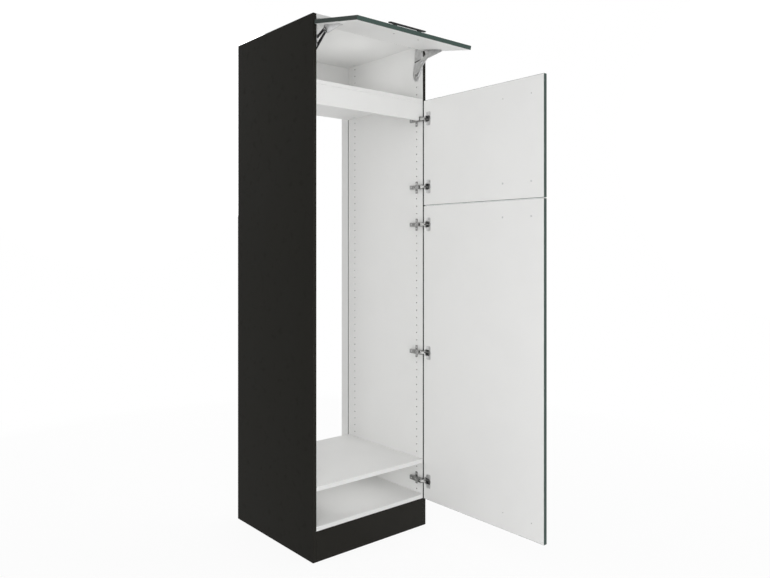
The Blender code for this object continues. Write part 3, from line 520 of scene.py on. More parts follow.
# A Geometry Nodes tree in the making: points come in, and what they carry goes out
class Grower(Graph):
    def __init__(self, name, **inputs):
        super().__init__(bpy.data.node_groups.new(name, 'GeometryNodeTree'))
        self.tree.interface.new_socket('Geometry', in_out='OUTPUT', socket_type='NodeSocketGeometry')
        self.keys = {}
        for label, kind in {'Geometry': 'Geometry', **inputs, 'Material': 'Material'}.items():
            socket = self.tree.interface.new_socket(label, in_out='INPUT', socket_type='NodeSocket' + kind)
            self.keys[label] = socket.identifier
        self.source = self.tree.nodes.new('NodeGroupInput')

    def given(self, label):
        return Wire(self, self.source.outputs[label])

    def vector(self, **axes):
        return self.node('ShaderNodeCombineXYZ', **axes)

    def box(self, **axes):
        return self.node('GeometryNodeMeshCube', Size=self.vector(**axes))

    def moved(self, geometry, **axes):
        return self.node('GeometryNodeTransform', Geometry=geometry, Translation=self.vector(**axes))

    def boolean(self, operation, **meshes):
        return self.node('GeometryNodeMeshBoolean', {'operation': operation}, **meshes)

    def turned(self, axis, angle):
        return self.node('FunctionNodeAxisAngleToRotation', Axis=axis, Angle=angle)

    # A turn about Z by chance, from none to the most
    def spun(self, most):
        settings = {'data_type': 'FLOAT'}
        chance = self.node('FunctionNodeRandomValue', settings, {3: most}, 1, Seed=self.given('Seed'))
        return self.turned((0, 0, 1), chance)

    # The instance on every point, as real meshes of one material
    def finish(self, **instance):
        inputs = {'Points': self.given('Geometry'), **instance}
        placed = self.node('GeometryNodeInstanceOnPoints', **inputs)
        real = self.node('GeometryNodeRealizeInstances', Geometry=placed)
        coated = self.node('GeometryNodeSetMaterial', Geometry=real, Material=self.given('Material'))
        self.feed(self.tree.nodes.new('NodeGroupOutput').inputs[0], coated)
        return self

    # The plain mesh that the tree makes from a start mesh and values for its named inputs
    def grown(self, start, **values):
        def addTree(item):
            modifier = item.modifiers.new('grow', 'NODES')
            modifier.node_group = self.tree
            for label, value in values.items():
                modifier[self.keys[label]] = value

        return evaluated(start, addTree)


screwHead = {'sides': 28, 'drum': 0.55, 'crown': 0.62, 'slot': 0.22}  # all but sides are shares


# A pan head with a crossed recess on each point, turned by chance about the way that the point faces
def screwGrower():
    grow = Grower('screwHeads', Radius='Float', Height='Float', Recess='Float', Seed='Int')
    radius, height, recess = grow.given('Radius'), grow.given('Height'), grow.given('Recess')
    sides, share, slot = screwHead['sides'], screwHead['drum'], screwHead['slot']
    drum = grow.node('GeometryNodeMeshCylinder', Vertices=sides, Radius=radius, Depth=height * share)
    cap = grow.node('GeometryNodeMeshCone', Vertices=sides, Radius_Top=radius * screwHead['crown'],
                    Radius_Bottom=radius, Depth=height * (1 - share))
    stack = [grow.moved(drum, Z=height * (share / 2)), grow.moved(cap, Z=height * share)]
    head = grow.boolean('UNION', Mesh_2=stack)
    bars = []
    for width, depth in ((1.0, slot), (slot, 1.0)):
        bars.append(grow.moved(grow.box(X=recess * width, Y=recess * depth, Z=height), Z=height))
    head = grow.boolean('DIFFERENCE', Mesh_1=head, Mesh_2=bars)
    facing = grow.node('GeometryNodeInputNamedAttribute', {'data_type': 'FLOAT_VECTOR'}, Name='facing')
    aim = grow.node('FunctionNodeAlignRotationToVector', {'axis': 'Z'}, Vector=facing)
    settings = {'rotation_space': 'LOCAL'}
    turned = grow.node('FunctionNodeRotateRotation', settings, Rotation=aim, Rotate_By=grow.spun(math.pi))
    return grow.finish(Instance=head, Rotation=turned)


# The same object on every point
def repeatGrower():
    grow = Grower('repeatOnPoints', Piece='Object')
    piece = grow.node('GeometryNodeObjectInfo', Object=grow.given('Piece'), output='Geometry')
    return grow.finish(Instance=piece)


# Two rows of drills down a panel: a count, a pitch and a first height
def drillGrower():
    sizes = ('Pitch', 'First', 'Front', 'Rear', 'Middle', 'Radius', 'Length')
    grow = Grower('drillRows', Count='Int', **{label: 'Float' for label in sizes})
    step = grow.vector(Z=grow.given('Pitch') * -1.0)
    rows = []
    for label in ('Front', 'Rear'):
        start = grow.vector(X=grow.given('Middle'), Y=grow.given(label), Z=grow.given('First'))
        count = grow.given('Count')
        rows.append(grow.node('GeometryNodeMeshLine', Count=count, Start_Location=start, Offset=step))
    points = grow.node('GeometryNodeJoinGeometry', Geometry=rows)
    radius, length = grow.given('Radius'), grow.given('Length')
    drill = grow.node('GeometryNodeMeshCylinder', Vertices=roundSides['drill'], Radius=radius, Depth=length)
    return grow.finish(Points=points, Instance=drill, Rotation=grow.turned((0, 1, 0), math.pi / 2))


# Cam covers, their slots turned by chance, on points that all face down
def camGrower():
    grow = Grower('camCovers', Radius='Float', Height='Float', Slot='Float', Seed='Int')
    radius, height = grow.given('Radius'), grow.given('Height')
    disc = grow.node('GeometryNodeMeshCylinder', Vertices=roundSides['cam'], Radius=radius, Depth=height)
    bar = grow.box(X=radius * cabinet['camSlotReach'], Y=grow.given('Slot'), Z=height)
    bar = grow.moved(bar, Z=height * -0.5)
    cam = grow.boolean('DIFFERENCE', Mesh_1=disc, Mesh_2=[bar])
    return grow.finish(Instance=cam, Rotation=grow.spun(cabinet['camTurn']))


screws = screwGrower()
repeats = repeatGrower()


def pointMesh(places, facing=None):
    mesh = bpy.data.meshes.new('points')
    mesh.from_pydata([tuple(place) for place in places], [], [])
    if facing:
        layer = mesh.attributes.new('facing', 'FLOAT_VECTOR', 'POINT')
        for one in layer.data:
            one.vector = facing
    return mesh


def repeated(mesh, places, material):
    blank = bpy.data.objects.new('blank', mesh)
    grown = repeats.grown(pointMesh(places), Piece=blank, Material=material)
    bpy.data.objects.remove(blank)
    return grown


screwSizes = {
    'panel': {'Radius': 0.0036, 'Height': 0.0016, 'Recess': 0.0042},
    'front': {'Radius': 0.0034, 'Height': 0.0014, 'Recess': 0.0040},
    'handle': {'Radius': 0.0040, 'Height': 0.0018, 'Recess': 0.0048},
    'fixing': {'Radius': 0.0028, 'Height': 0.0012, 'Recess': 0.0036},
    'setting': {'Radius': 0.0022, 'Height': 0.0007, 'Recess': 0.0030},
    'seed': 0,
    'soft': 0.00008,
    'softAngle': 50,
}


def addScrews(name, kind, places, facing, body, nodes=(), place=Matrix.Identity(4)):
    spots = [place @ Vector(spot) for spot in places]
    way = place.to_3x3() @ Vector(facing)
    values = {**screwSizes[kind], 'Seed': screwSizes['seed'], 'Material': plateSteel}
    mesh = screws.grown(pointMesh(spots, way), **values)
    mesh = softened(mesh, screwSizes['soft'], 1, screwSizes['softAngle'])
    return addPiece(name, mesh, (plateSteel,), body, nodes)


print("trees made")


# Carcass, in metres from the cabinet's left outer face, its front edge and the floor
cabinet = {
    'left': -0.300,
    'front': -0.008,
    'width': 0.600,
    'innerHalf': 0.284,
    'innerLeft': 0.016,
    'innerRight': 0.584,
    'edgeRound': 0.0006,
    'rimShare': 0.95,
    'near': 0.0001,
    'facing': 0.9,
    'holeMargin': 0.002,
    'bandWidth': 0.0006,
    'grooveDepth': 0.0075,
    'grooveSlack': 0.0006,
    'overrun': 0.002,
    'rowFront': 0.037,
    'rowRear': 0.450,
    'rowTop': 2.0346,
    'rowPitch': 0.032,
    'rowHoles': 60,
    'holeRadius': 0.0025,
    'holeDepth': 0.012,
    'notchWidth': 0.0233,
    'notchTop': 1.7410,
    'camRadius': 0.0075,
    'camCover': 0.0072,
    'camRecess': 0.0006,
    'camSlot': 0.0018,
    'camSlotReach': 1.3,
    'camTurn': 0.6,
    'camSeed': 0,
    'camSoft': 0.0001,
    'camPlaces': ((0.0343, 0.060), (0.5657, 0.060), (0.0343, 0.434), (0.5657, 0.434)),
}
cabinet['place'] = Matrix.Translation((cabinet['left'], cabinet['front'], 0))
drills = drillGrower()
cams = camGrower()


def nodeBox(node):
    low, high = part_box(node)
    back = cabinet['place'].inverted()
    return back @ low, back @ high


# Which of a board's finishes a face takes; the fourth is a lighter or darker copy of the board, as painted
# light
innerFace, outerFace, cutFace, paintedLightFace = range(4)


# A box board with soft edges, marked in the rim attribute; pick gives each face its finish
def boardMesh(low, high, pick, cutters=()):
    bm = shape(addBox, low, high)
    edgeRound = cabinet['edgeRound']
    bmesh.ops.bevel(bm, geom=bm.edges[:], offset=edgeRound, segments=2, affect='EDGES', profile=0.5)
    mesh = closedMesh(bm)
    for cutter in cutters:
        mesh = combined(mesh, cutter, 'DIFFERENCE')
    openSlots(mesh, 4)
    reach = edgeRound * cabinet['rimShare']
    rim = mesh.attributes.new('rim', 'FLOAT', 'FACE')
    for face in mesh.polygons:
        gaps = sorted(min(face.center[i] - low[i], high[i] - face.center[i]) for i in range(3))
        rim.data[face.index].value = float(gaps[1] < reach)
        face.material_index = pick(face.center, face.normal)
    return mesh


# Splits the faces along planes, so that a thin band of another finish can follow an edge
def splitAlong(mesh, axis, levels, pick):
    bm = bmesh.new()
    bm.from_mesh(mesh)
    for level in levels:
        spot, normal = Vector(), Vector()
        spot[axis], normal[axis] = level, 1
        everything = bm.verts[:] + bm.edges[:] + bm.faces[:]
        bmesh.ops.bisect_plane(bm, geom=everything, plane_co=spot, plane_no=normal)
    bm.to_mesh(mesh)
    bm.free()
    for face in mesh.polygons:
        face.material_index = pick(face.center, face.normal)


# A side panel is white only on its inner face, behind the edge band at its front; its front edge takes the
# dark board painted lighter, as painted light
def sidePanel(node, inner, inward):
    low, high = nodeBox(node)
    backLow, backHigh = nodeBox('compartment_back')
    slack, over = cabinet['grooveSlack'], cabinet['overrun']
    ends = sorted((inner - inward * cabinet['grooveDepth'], inner + inward * over))
    corner = (ends[1], backHigh.y + slack, high.z + over)
    groove = shapeMesh(addBox, (ends[0], backLow.y - slack, -over), corner)
    rows = drills.grown(
        pointMesh([(0, 0, 0)]),
        Count=cabinet['rowHoles'], Pitch=cabinet['rowPitch'], First=cabinet['rowTop'],
        Front=cabinet['rowFront'], Rear=cabinet['rowRear'], Radius=cabinet['holeRadius'],
        Middle=inner - inward * (cabinet['holeDepth'] - over) / 2, Length=cabinet['holeDepth'] + over,
        Material=chipWithShade,
    )

    def pick(centre, normal):
        facing, margin = cabinet['facing'], cabinet['holeMargin']
        sunk = min(abs(centre.x - inner), centre.x - low.x, high.x - centre.x) > cabinet['near']
        if sunk and all(low[i] + margin < centre[i] < high[i] - margin for i in (1, 2)):
            return cutFace
        if normal.y < -facing:
            return paintedLightFace
        return innerFace if normal.x * inward > facing and centre.y > cabinet['bandWidth'] else outerFace

    mesh = boardMesh(low, high, pick, (groove, rows))
    splitAlong(mesh, 1, (cabinet['bandWidth'],), pick)
    mesh.transform(cabinet['place'])
    finishes = (whiteBoard, darkBoard, chipWithShade, darkFacing)
    addPiece(node + 'Board', mesh, finishes, 'carcass', (node,), 'dark_board')


def camRecesses(underside):
    bm = bmesh.new()
    for x, y in cabinet['camPlaces']:
        start = (x, y, underside - cabinet['overrun'])
        end = (x, y, underside + cabinet['camRecess'])
        addPin(bm, start, end, cabinet['camRadius'], roundSides['cam'])
    return closedMesh(bm)


def plainBoard(node, finish, slotName, cutters=()):
    low, high = nodeBox(node)
    mesh = placed(boardMesh(low, high, lambda centre, normal: innerFace, cutters), cabinet['place'])
    addPiece(node + 'Board', mesh, (finish,), 'carcass', (node,), slotName)


def camCovers(undersides):
    spots = []
    for underside in undersides:
        for x, y in cabinet['camPlaces']:
            spots.append(cabinet['place'] @ Vector((x, y, underside + cabinet['camRecess'] / 2)))
    sizes = {'Radius': cabinet['camCover'], 'Height': cabinet['camRecess'], 'Slot': cabinet['camSlot']}
    mesh = cams.grown(pointMesh(spots), Seed=cabinet['camSeed'], Material=castZinc, **sizes)
    mesh = softened(mesh, cabinet['camSoft'], 1, screwSizes['softAngle'])
    addPiece('camCovers', mesh, (castZinc,), 'carcass')


# A cut-out in the fascia's lower corner, where the top hinge's arm passes
def fasciaNotch():
    low, high = nodeBox('niche_fascia')
    over = cabinet['overrun']
    corner = (cabinet['innerRight'] - cabinet['notchWidth'], -over, low.z - over)
    return shapeMesh(addBox, corner, (high.x + over, high.y + over, cabinet['notchTop']))


def topGroove(underside):
    low, high = nodeBox('compartment_back')
    slack, over = cabinet['grooveSlack'], cabinet['overrun']
    corner = (cabinet['width'], high.y + slack, underside + cabinet['grooveDepth'])
    return shapeMesh(addBox, (0, low.y - slack, underside - over), corner)


sidePanel('side_panel_left', cabinet['innerLeft'], 1)
sidePanel('side_panel_right', cabinet['innerRight'], -1)
fullBoards = ('top_panel', 'compartment_shelf', 'appliance_shelf', 'bottom_panel')
undersides = [nodeBox(node)[0].z for node in fullBoards]
for node, underside in zip(fullBoards, undersides):
    cutters = [camRecesses(underside)]
    if node == 'top_panel':
        cutters.append(topGroove(underside))
    plainBoard(node, whiteBoard, 'white_board', cutters)
plainBoard('niche_fascia', whiteBoard, 'white_board', (fasciaNotch(),))
# The plinth takes the dark board painted lighter, as painted light
plainBoard('plinth_board', darkFacing, 'dark_board')
camCovers(undersides)
print("carcass boards made")


# Doors and flap: white inside, coloured outside and round the edges
frontFinishes = (whiteBoard, frontBoard, chipWithShade, frontEdgeShade)
fronts = {
    'thickness': 0.016,
    'width': 0.596,
    'bandWidth': 0.0010,
    'cupInset': 0.022,
    'boreRadius': 0.0175,
    'boreDepth': 0.0127,
    'pilotRadius': 0.0015,
    'pilotDepth': 0.0015,
    'rowInset': 0.0625,
    'handleInsets': (0.542, 0.414),
    'seam': 0.0003,
    'openEdge': -0.013,
}
hingeHeights = {'upper_door': (1.7306, 1.4426), 'lower_door': (1.2826, 0.7386, 0.1946)}

# From a door's own directions, which are the distance from its hinge edge, the depth and the height
hingeEdge = (cabinet['innerHalf'], fronts['openEdge'])
doorPlace = Matrix(((0, 1, 0, hingeEdge[0]), (-1, 0, 0, hingeEdge[1]), (0, 0, 1, 0), (0, 0, 0, 1)))


# The inner face is white inside a thin band, bores show the chipboard, darkened as painted shade, and the
# short edges take a darker copy of the front colour, as painted shade
def innerFacePick(low, high, face, shortAxis):
    band, near = fronts['bandWidth'], cabinet['near']

    def pick(centre, normal):
        inside = [low[i] + band < centre[i] < high[i] - band for i in range(3)]
        if abs(normal[shortAxis]) > cabinet['facing'] and not inside[shortAxis]:
            return paintedLightFace
        if not (inside[0] and inside[2]):
            return outerFace
        if low[1] + near < centre[1] < high[1] - near:
            return cutFace
        return innerFace if abs(centre[1] - face) < near else outerFace

    return pick


def frontMesh(low, high, face, shortAxis, cutters=()):
    pick = innerFacePick(low, high, face, shortAxis)
    mesh = boardMesh(low, high, pick, cutters)
    band = fronts['bandWidth']
    for axis in (0, 2):
        splitAlong(mesh, axis, (low[axis] + band, high[axis] - band), pick)
    return mesh


def handleRows(node):
    low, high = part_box(node)
    rows = [low.z + fronts['rowInset'], high.z - fronts['rowInset']]
    return rows if node == 'upper_door' else rows[::-1]


def doorPiece(node):
    boxLow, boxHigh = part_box(node)
    low = Vector((0, 0, boxLow.z))
    high = Vector((fronts['width'], fronts['thickness'], boxHigh.z))
    over = cabinet['overrun']
    bores, inset, spareRow = bmesh.new(), fronts['cupInset'], handleRows(node)[1]
    for height in hingeHeights[node]:
        end = (inset, fronts['boreDepth'], height)
        addPin(bores, (inset, -over, height), end, fronts['boreRadius'], roundSides['bore'])
    for inset in fronts['handleInsets']:
        end = (inset, fronts['pilotDepth'], spareRow)
        addPin(bores, (inset, -over, spareRow), end, fronts['pilotRadius'], roundSides['drill'])
    mesh = frontMesh(low, high, 0, 2, (closedMesh(bores),))
    addPiece(node + 'Front', placed(mesh, doorPlace), frontFinishes, node, (node,), 'front_board')


flap = {
    'turn': math.radians(-78.8),
    'pin': (0, -0.047747, 1.988314),
    'pinHeight': 0.0260,
    'pinInset': 0.04006,
    'height': 0.250,
    'half': 0.298,
}
flapPlace = Matrix.Translation(flap['pin']) @ Matrix.Rotation(flap['turn'], 4, 'X')


# A point of the flap, from its middle, behind its inner face and down from its top edge
def flapSpot(x, behind, inset):
    return Vector((x, behind - flap['pinHeight'], flap['pinInset'] - inset))


def flapPiece():
    low = flapSpot(-flap['half'], -fronts['thickness'], flap['height'])
    high = flapSpot(flap['half'], 0, 0)
    mesh = frontMesh(low, high, high.y, 0)
    addPiece('flapFront', placed(mesh, flapPlace), frontFinishes, 'flap', ('flap',), 'front_board')


doorPiece('upper_door')
doorPiece('lower_door')
flapPiece()
print("fronts made")


# Bow handles: a flat bar on two flared feet, and the screws that hold it from inside
bow = {
    'length': 0.188,
    'spacing': 0.128,
    'width': 0.012,
    'barHeight': 0.0055,
    'reach': 0.0215,
    'footWidth': 0.0095,
    'footFlare': 0.0015,
    'fillet': 0.0028,
    'chamfer': 0.0012,
}


# Along X, standing out along Z from its seat
def bowMesh():
    end, foot = bow['length'] / 2, bow['spacing'] / 2
    inner = bow['footWidth'] / 2
    outer = inner + bow['footFlare']
    under = bow['reach'] - bow['barHeight']
    half = [(end, bow['reach']), (end, under), (foot + outer, under), (foot + inner, 0)]
    half += [(foot - inner, 0), (foot - outer, under)]
    outline = half + [(-x, z) for x, z in reversed(half)]
    outline = roundedOutline(outline, bow['fillet'], curveSteps['corner'])
    mesh = shapeMesh(addPrism, outline, frontView, -bow['width'] / 2, bow['width'] / 2)
    return eased(mesh, bow['chamfer'], curveSteps['bevel'])


def addBow(name, place, body, node):
    addPiece(name, placed(bowMesh(), place), (blackPowder,), body, (node,), 'black_metal')


def addHandles():
    middle = sum(fronts['handleInsets']) / 2
    turn = Matrix.Rotation(-math.pi / 2, 4, 'X')
    for door in ('upper_door', 'lower_door'):
        row = handleRows(door)[0]
        seat = Matrix.Translation((middle, fronts['thickness'] + fronts['seam'], row))
        addBow(door + 'Bow', doorPlace @ seat @ turn, door, door + '_handle')
        spots = [(inset, -fronts['seam'], row) for inset in fronts['handleInsets']]
        nodes = [door + '_handle_screw_1', door + '_handle_screw_2']
        addScrews(door + 'BowScrews', 'handle', spots, (0, -1, 0), door, nodes, doorPlace)
    inset = flap['height'] - fronts['rowInset']
    seat = Matrix.Translation(flapSpot(0, -fronts['thickness'] - fronts['seam'], inset))
    addBow('flapBow', flapPlace @ seat @ Matrix.Rotation(math.pi / 2, 4, 'X'), 'flap', 'flap_handle')
    spots = [flapSpot(side * bow['spacing'] / 2, fronts['seam'], inset) for side in (-1, 1)]
    nodes = ['flap_handle_screw_1', 'flap_handle_screw_2']
    addScrews('flapBowScrews', 'handle', spots, (0, 1, 0), 'flap', nodes, flapPlace)


addHandles()
print("handles made")


# Concealed hinges: a sunk cup, two links, and an arm over its mounting plate
hinge = {
    'cupRadius': 0.0172,
    'cupDepth': 0.0122,
    'cupWall': 0.0005,
    'cupChamfer': 0.0012,
    'sunkFrom': 0.0006,
    'wallMargin': 0.0002,
    'floorMargin': 0.0010,
    'mouthHalf': 0.0123,
    'neckHalf': 0.0090,
    'neckEnd': 0.0135,
    'rimRadius': 0.0188,
    'flange': 0.0010,
    'earHeight': 0.0575,
    'earWidth': 0.024,
    'earOffset': 0.0054,
    'earRound': 0.006,
    'earScrews': 0.046,
    'earStep': 0.0001,
    'screwSink': 0.0006,
    'notchHalf': 0.0088,
    'notchDepth': 0.0009,
    'notchWidth': 0.0093,
    'longPin': (0.01135, 0.0015),
    'pinRadius': 0.0009,
    'pinPlay': 0.0003,
    'pinSoft': 0.00015,
    'pinOverlap': 0.00015,
    'pinEnd': 0.0011,
    'eyeRadius': 0.0018,
    'ribHalf': 0.0014,
    'ribNear': 0.01065,
    'ribFar': 0.01355,
    'shortBase': (0.580291, -0.010052),
    'longBase': (0.563847, -0.008105),
    'shortTip': (0.588260, -0.014300),
    'longTip': (0.585500, -0.016350),
    'shortLayer': (0.0053, 0.0066),
    'longLayer': (0.0020, 0.0044),
    'shortBow': 0.0013,
    'shortWaist': 0.0010,
    'forkPlay': 0.0011,
    'forkReach': 0.0005,
    'forkWall': 0.0007,
    'bridge': (0.0035, 0.0125),
    'linkSoft': 0.0002,
    'armLayer': (0.0071, 0.0084),
    'armWeb': 0.0012,
    'armFront': -0.02,
    'armBack': 0.062,
    'armHeight': 0.0195,
    'armRear': 0.0070,
    'armNeck': 0.012,
    'armFrontWeb': 0.006,
    'tipGap': 0.0018,
    'armRound': 0.003,
    'fixScrew': 0.050,
    'setScrew': 0.027,
    'setWell': 0.0030,
    'wellShare': 0.6,
    'plate': 0.0016,
    'wingHeight': 0.052,
    'wingWidth': 0.012,
    'bodyFront': 0.016,
    'bodyBack': 0.058,
    'bodyTaper': 0.004,
    'bodyHalf': 0.0066,
    'plateSoft': 0.0004,
    'pressed': 0.00025,
}


# In the door's own directions, about the cup's height
def cupMesh():
    inset, seam, over = fronts['cupInset'], fronts['seam'], cabinet['overrun']
    depth, radius, chamfer = hinge['cupDepth'], hinge['cupRadius'], hinge['cupChamfer']
    lip, top, step = seam + hinge['flange'] / 2, -seam - hinge['flange'], hinge['earStep']
    drum = ((radius, -lip), (radius, depth - chamfer), (radius - chamfer, depth))
    rim = ((hinge['rimRadius'], 0), (hinge['rimRadius'], hinge['flange']))
    middle, half = inset + hinge['earOffset'], Vector((hinge['earWidth'] / 2, hinge['earHeight'] / 2))
    corners = rectangle((middle - half.x, -half.y), (middle + half.x, half.y))
    ears, sides = roundedOutline(corners, hinge['earRound'], curveSteps['corner']), roundSides['cup']
    mesh = shapeMesh(addTurned, (inset, 0, 0), (0, 1, 0), drum, sides)
    mesh = joinedTo(mesh, shape(addTurned, (inset, top, 0), (0, 1, 0), rim, sides))
    mesh = joinedTo(mesh, shape(addPrism, ears, frontView, top + step, -seam - step))

    inner, flat, end = radius - hinge['cupWall'], (inset, 0), hinge['neckEnd']
    mouthHalf, neckHalf = hinge['mouthHalf'], hinge['neckHalf']
    wide, narrow = math.asin(mouthHalf / inner), math.asin(neckHalf / inner)
    mouth = arc(flat, inner, -wide, wide, curveSteps['mouth']) + [(end, mouthHalf), (end, neckHalf)]
    mouth += arc(flat, inner, math.pi - narrow, math.pi + narrow, curveSteps['end'])
    mouth += [(end, -neckHalf), (end, -mouthHalf)]
    mesh = cutFrom(mesh, shape(addPrism, mouth, frontView, top - over, depth - hinge['cupWall']))
    notch = (hinge['notchWidth'], hinge['notchDepth'], hinge['notchHalf'])
    mesh = cutFrom(mesh, shape(addBox, (0, top - over, -hinge['notchHalf']), notch))
    mesh = eased(mesh, hinge['pressed'])

    # The sunk walls carry painted shade in a dark steel, the floor a lighter painted shade in the arms'
    # steel, and the flange keeps its bright steel
    openSlots(mesh, 3)
    for face in mesh.polygons:
        aside = Vector((face.center.x - inset, face.center.z)).length
        sunk = face.center.y > hinge['sunkFrom'] and aside < inner + hinge['wallMargin']
        face.material_index = sunk + int(sunk and face.center.y > depth - hinge['floorMargin'])
    return mesh


# The pin that the long link's fork turns on, and the rib under it
def cupPinMesh():
    pin, half = hinge['longPin'], hinge['ribHalf']
    floor = hinge['cupDepth'] - hinge['cupWall'] / 2
    corners = rectangle((hinge['ribNear'], pin[1] - half), (hinge['ribFar'], floor))
    mesh = shapeMesh(addPrism, corners, planView, -half, half)
    reach = hinge['longLayer'][1] + hinge['pinPlay']
    mesh = joinedTo(mesh, shape(addPin, (*pin, -reach), (*pin, reach), hinge['pinRadius']))
    return eased(mesh, hinge['pinSoft'])


# A link lies along X from the arm's pin, and turns about Z to where its other pin is at rest
def linkPlace(base, tip):
    heading = math.atan2(tip[1] - base[1], tip[0] - base[0])
    return cabinet['place'] @ Matrix.Translation((*base, 0)) @ Matrix.Rotation(heading, 4, 'Z')


# Two bowed plates on one cross pin
def shortLinkMesh():
    base, tip, eye = hinge['shortBase'], hinge['shortTip'], hinge['eyeRadius']
    length = (Vector(tip) - Vector(base)).length
    outline = arc((0, 0), eye, math.pi / 2, 1.5 * math.pi, curveSteps['end'])
    outline.append((length / 2, -hinge['shortBow'] - hinge['shortWaist']))
    outline += arc((length, 0), eye, -math.pi / 2, math.pi / 2, curveSteps['end'])
    outline.append((length / 2, -hinge['shortBow'] + hinge['shortWaist']))
    plates = bmesh.new()
    for side in (-1, 1):
        addPrism(plates, outline, planView, *sorted(side * z for z in hinge['shortLayer']))
    reach, end = hinge['shortLayer'][1] + cabinet['overrun'], hinge['neckHalf'] + hinge['cupWall']
    holes = shape(addPin, (0, 0, -reach), (0, 0, reach), hinge['pinRadius'] + hinge['pinPlay'])
    pin = shape(addPin, (length, 0, -end), (length, 0, end), hinge['pinRadius'])
    mesh = joinedTo(cutFrom(closedMesh(plates), holes), pin)
    return placed(eased(mesh, hinge['linkSoft']), linkPlace(base, tip))


# Two plates and a bridge; the ends toward the door are forks, loose on the cup's pin
def longLinkMesh():
    base, tip, eye = hinge['longBase'], hinge['longTip'], hinge['eyeRadius']
    length, over = (Vector(tip) - Vector(base)).length, cabinet['overrun']
    hole = hinge['pinRadius'] + hinge['pinPlay']
    loose = hole + hinge['pinPlay']
    wall, end = loose + hinge['forkWall'], length + hinge['forkReach']
    inside, outside = hinge['longLayer']
    outline = arc((0, 0), eye, math.pi / 2, 1.5 * math.pi, curveSteps['end'])
    outline += [(length - 2 * wall, -wall), (end, -wall), (end, wall), (length - 2 * wall, wall)]
    mesh = shapeMesh(addPrism, outline, planView, -outside, outside)
    gaps = bmesh.new()
    for low, high in ((-wall - over, hinge['bridge'][0]), (hinge['bridge'][1], end + over)):
        addBox(gaps, (low, -wall - over, -inside), (high, wall + over, inside))
    reach = outside + over
    holes = shape(addPin, (0, 0, -reach), (0, 0, reach), hole)
    spot = (length - hinge['forkPlay'], 0)
    slot = arc(spot, loose, math.pi / 2, 1.5 * math.pi, curveSteps['end'])
    addPrism(holes, slot + [(end + over, -loose), (end + over, loose)], planView, -reach, reach)
    mesh = cutFrom(cutFrom(mesh, gaps), holes)
    return placed(eased(mesh, hinge['linkSoft']), linkPlace(base, tip))


# A pressed channel over the mounting plate, with a well for the setting screw
def armMesh():
    short, long = hinge['shortBase'], hinge['longBase']
    face, over = cabinet['innerRight'], cabinet['overrun']
    highX, webX = face - hinge['tipGap'], face - hinge['armHeight']
    rearX, lowX = face - hinge['armRear'], long[0] - hinge['eyeRadius']
    soft, back, neck = hinge['armRound'], hinge['armBack'], hinge['armNeck']
    outline = arc(long, hinge['eyeRadius'], math.pi, 1.5 * math.pi, curveSteps['corner'])
    outline += arc(short, highX - short[0], 1.5 * math.pi, 2 * math.pi, curveSteps['corner'])
    outline += [(highX, 0), (rearX, neck)]
    outline += arc((rearX - soft, back - soft), soft, 0, math.pi / 2, curveSteps['small'])
    outline += arc((webX + soft, back - soft), soft, math.pi / 2, math.pi, curveSteps['small'])
    outline += [(webX, neck), (lowX, 0)]
    mesh = shapeMesh(addPrism, outline, planView, -hinge['armLayer'][1], hinge['armLayer'][1])
    inside, front, screw = hinge['armLayer'][0], hinge['armFront'], hinge['setScrew']
    start, end = (webX - over, screw, 0), (webX + hinge['armWeb'] * hinge['wellShare'], screw, 0)
    tools = (
        shape(addBox, (webX + hinge['armWeb'], front, -inside), (face, back + over, inside)),
        shape(addBox, (lowX - over, front, -inside), (face, hinge['armFrontWeb'], inside)),
        shape(addPin, start, end, hinge['setWell'], roundSides['well']),
    )
    for tool in tools:
        mesh = cutFrom(mesh, tool)
    return placed(eased(mesh, hinge['pressed']), cabinet['place'])


def armPinMesh():
    short, long, radius = hinge['shortBase'], hinge['longBase'], hinge['pinRadius']
    end = hinge['armLayer'][0] + hinge['pinEnd']
    bm = shape(addPin, (*long, -end), (*long, end), radius)
    for side in (-1, 1):
        start = side * (hinge['shortLayer'][0] - hinge['pinOverlap'])
        addPin(bm, (*short, start), (*short, side * end), radius)
    return placed(eased(closedMesh(bm), hinge['pinSoft']), cabinet['place'])


def plateMesh():
    face, row = cabinet['innerRight'] - fronts['seam'], cabinet['rowFront']
    halfWidth, half = hinge['wingWidth'] / 2, hinge['wingHeight'] / 2
    corners = rectangle((row - halfWidth, -half), (row + halfWidth, half))
    wings = roundedOutline(corners, halfWidth / 2, curveSteps['corner'])
    crest = cabinet['innerRight'] - hinge['armHeight'] + hinge['armWeb'] + fronts['seam']
    front, back, taper = hinge['bodyFront'], hinge['bodyBack'], hinge['bodyTaper']
    outline = [(face, front), (face, back), (crest, back - taper), (crest, front + taper)]
    mesh = shapeMesh(addPrism, wings, sideView, face - hinge['plate'], face)
    mesh = joinedTo(mesh, shape(addPrism, outline, planView, -hinge['bodyHalf'], hinge['bodyHalf']))
    return placed(eased(mesh, hinge['plateSoft']), cabinet['place'])


def hingeNodes(doors, ending):
    nodes = []
    for door in doors:
        for i in range(len(hingeHeights[door])):
            nodes.append(door.split('_')[0] + '_hinge_' + str(i + 1) + '_' + ending)
    return nodes


# The cup keeps its three finishes, so its copies are joined here and not by the tree
def cupRow(levels):
    cup, joined = placed(cupMesh(), doorPlace), bmesh.new()
    for level in levels:
        joined.from_mesh(placed(cup.copy(), Matrix.Translation((0, 0, level))))
    cups = bpy.data.meshes.new('cups')
    joined.to_mesh(cups)
    joined.free()
    return smoothed(cups)


def addRepeats(name, mesh, spots, finish, body, nodes=(), slotName='bright_steel'):
    addPiece(name, repeated(mesh, spots, finish), (finish,), body, nodes, slotName)


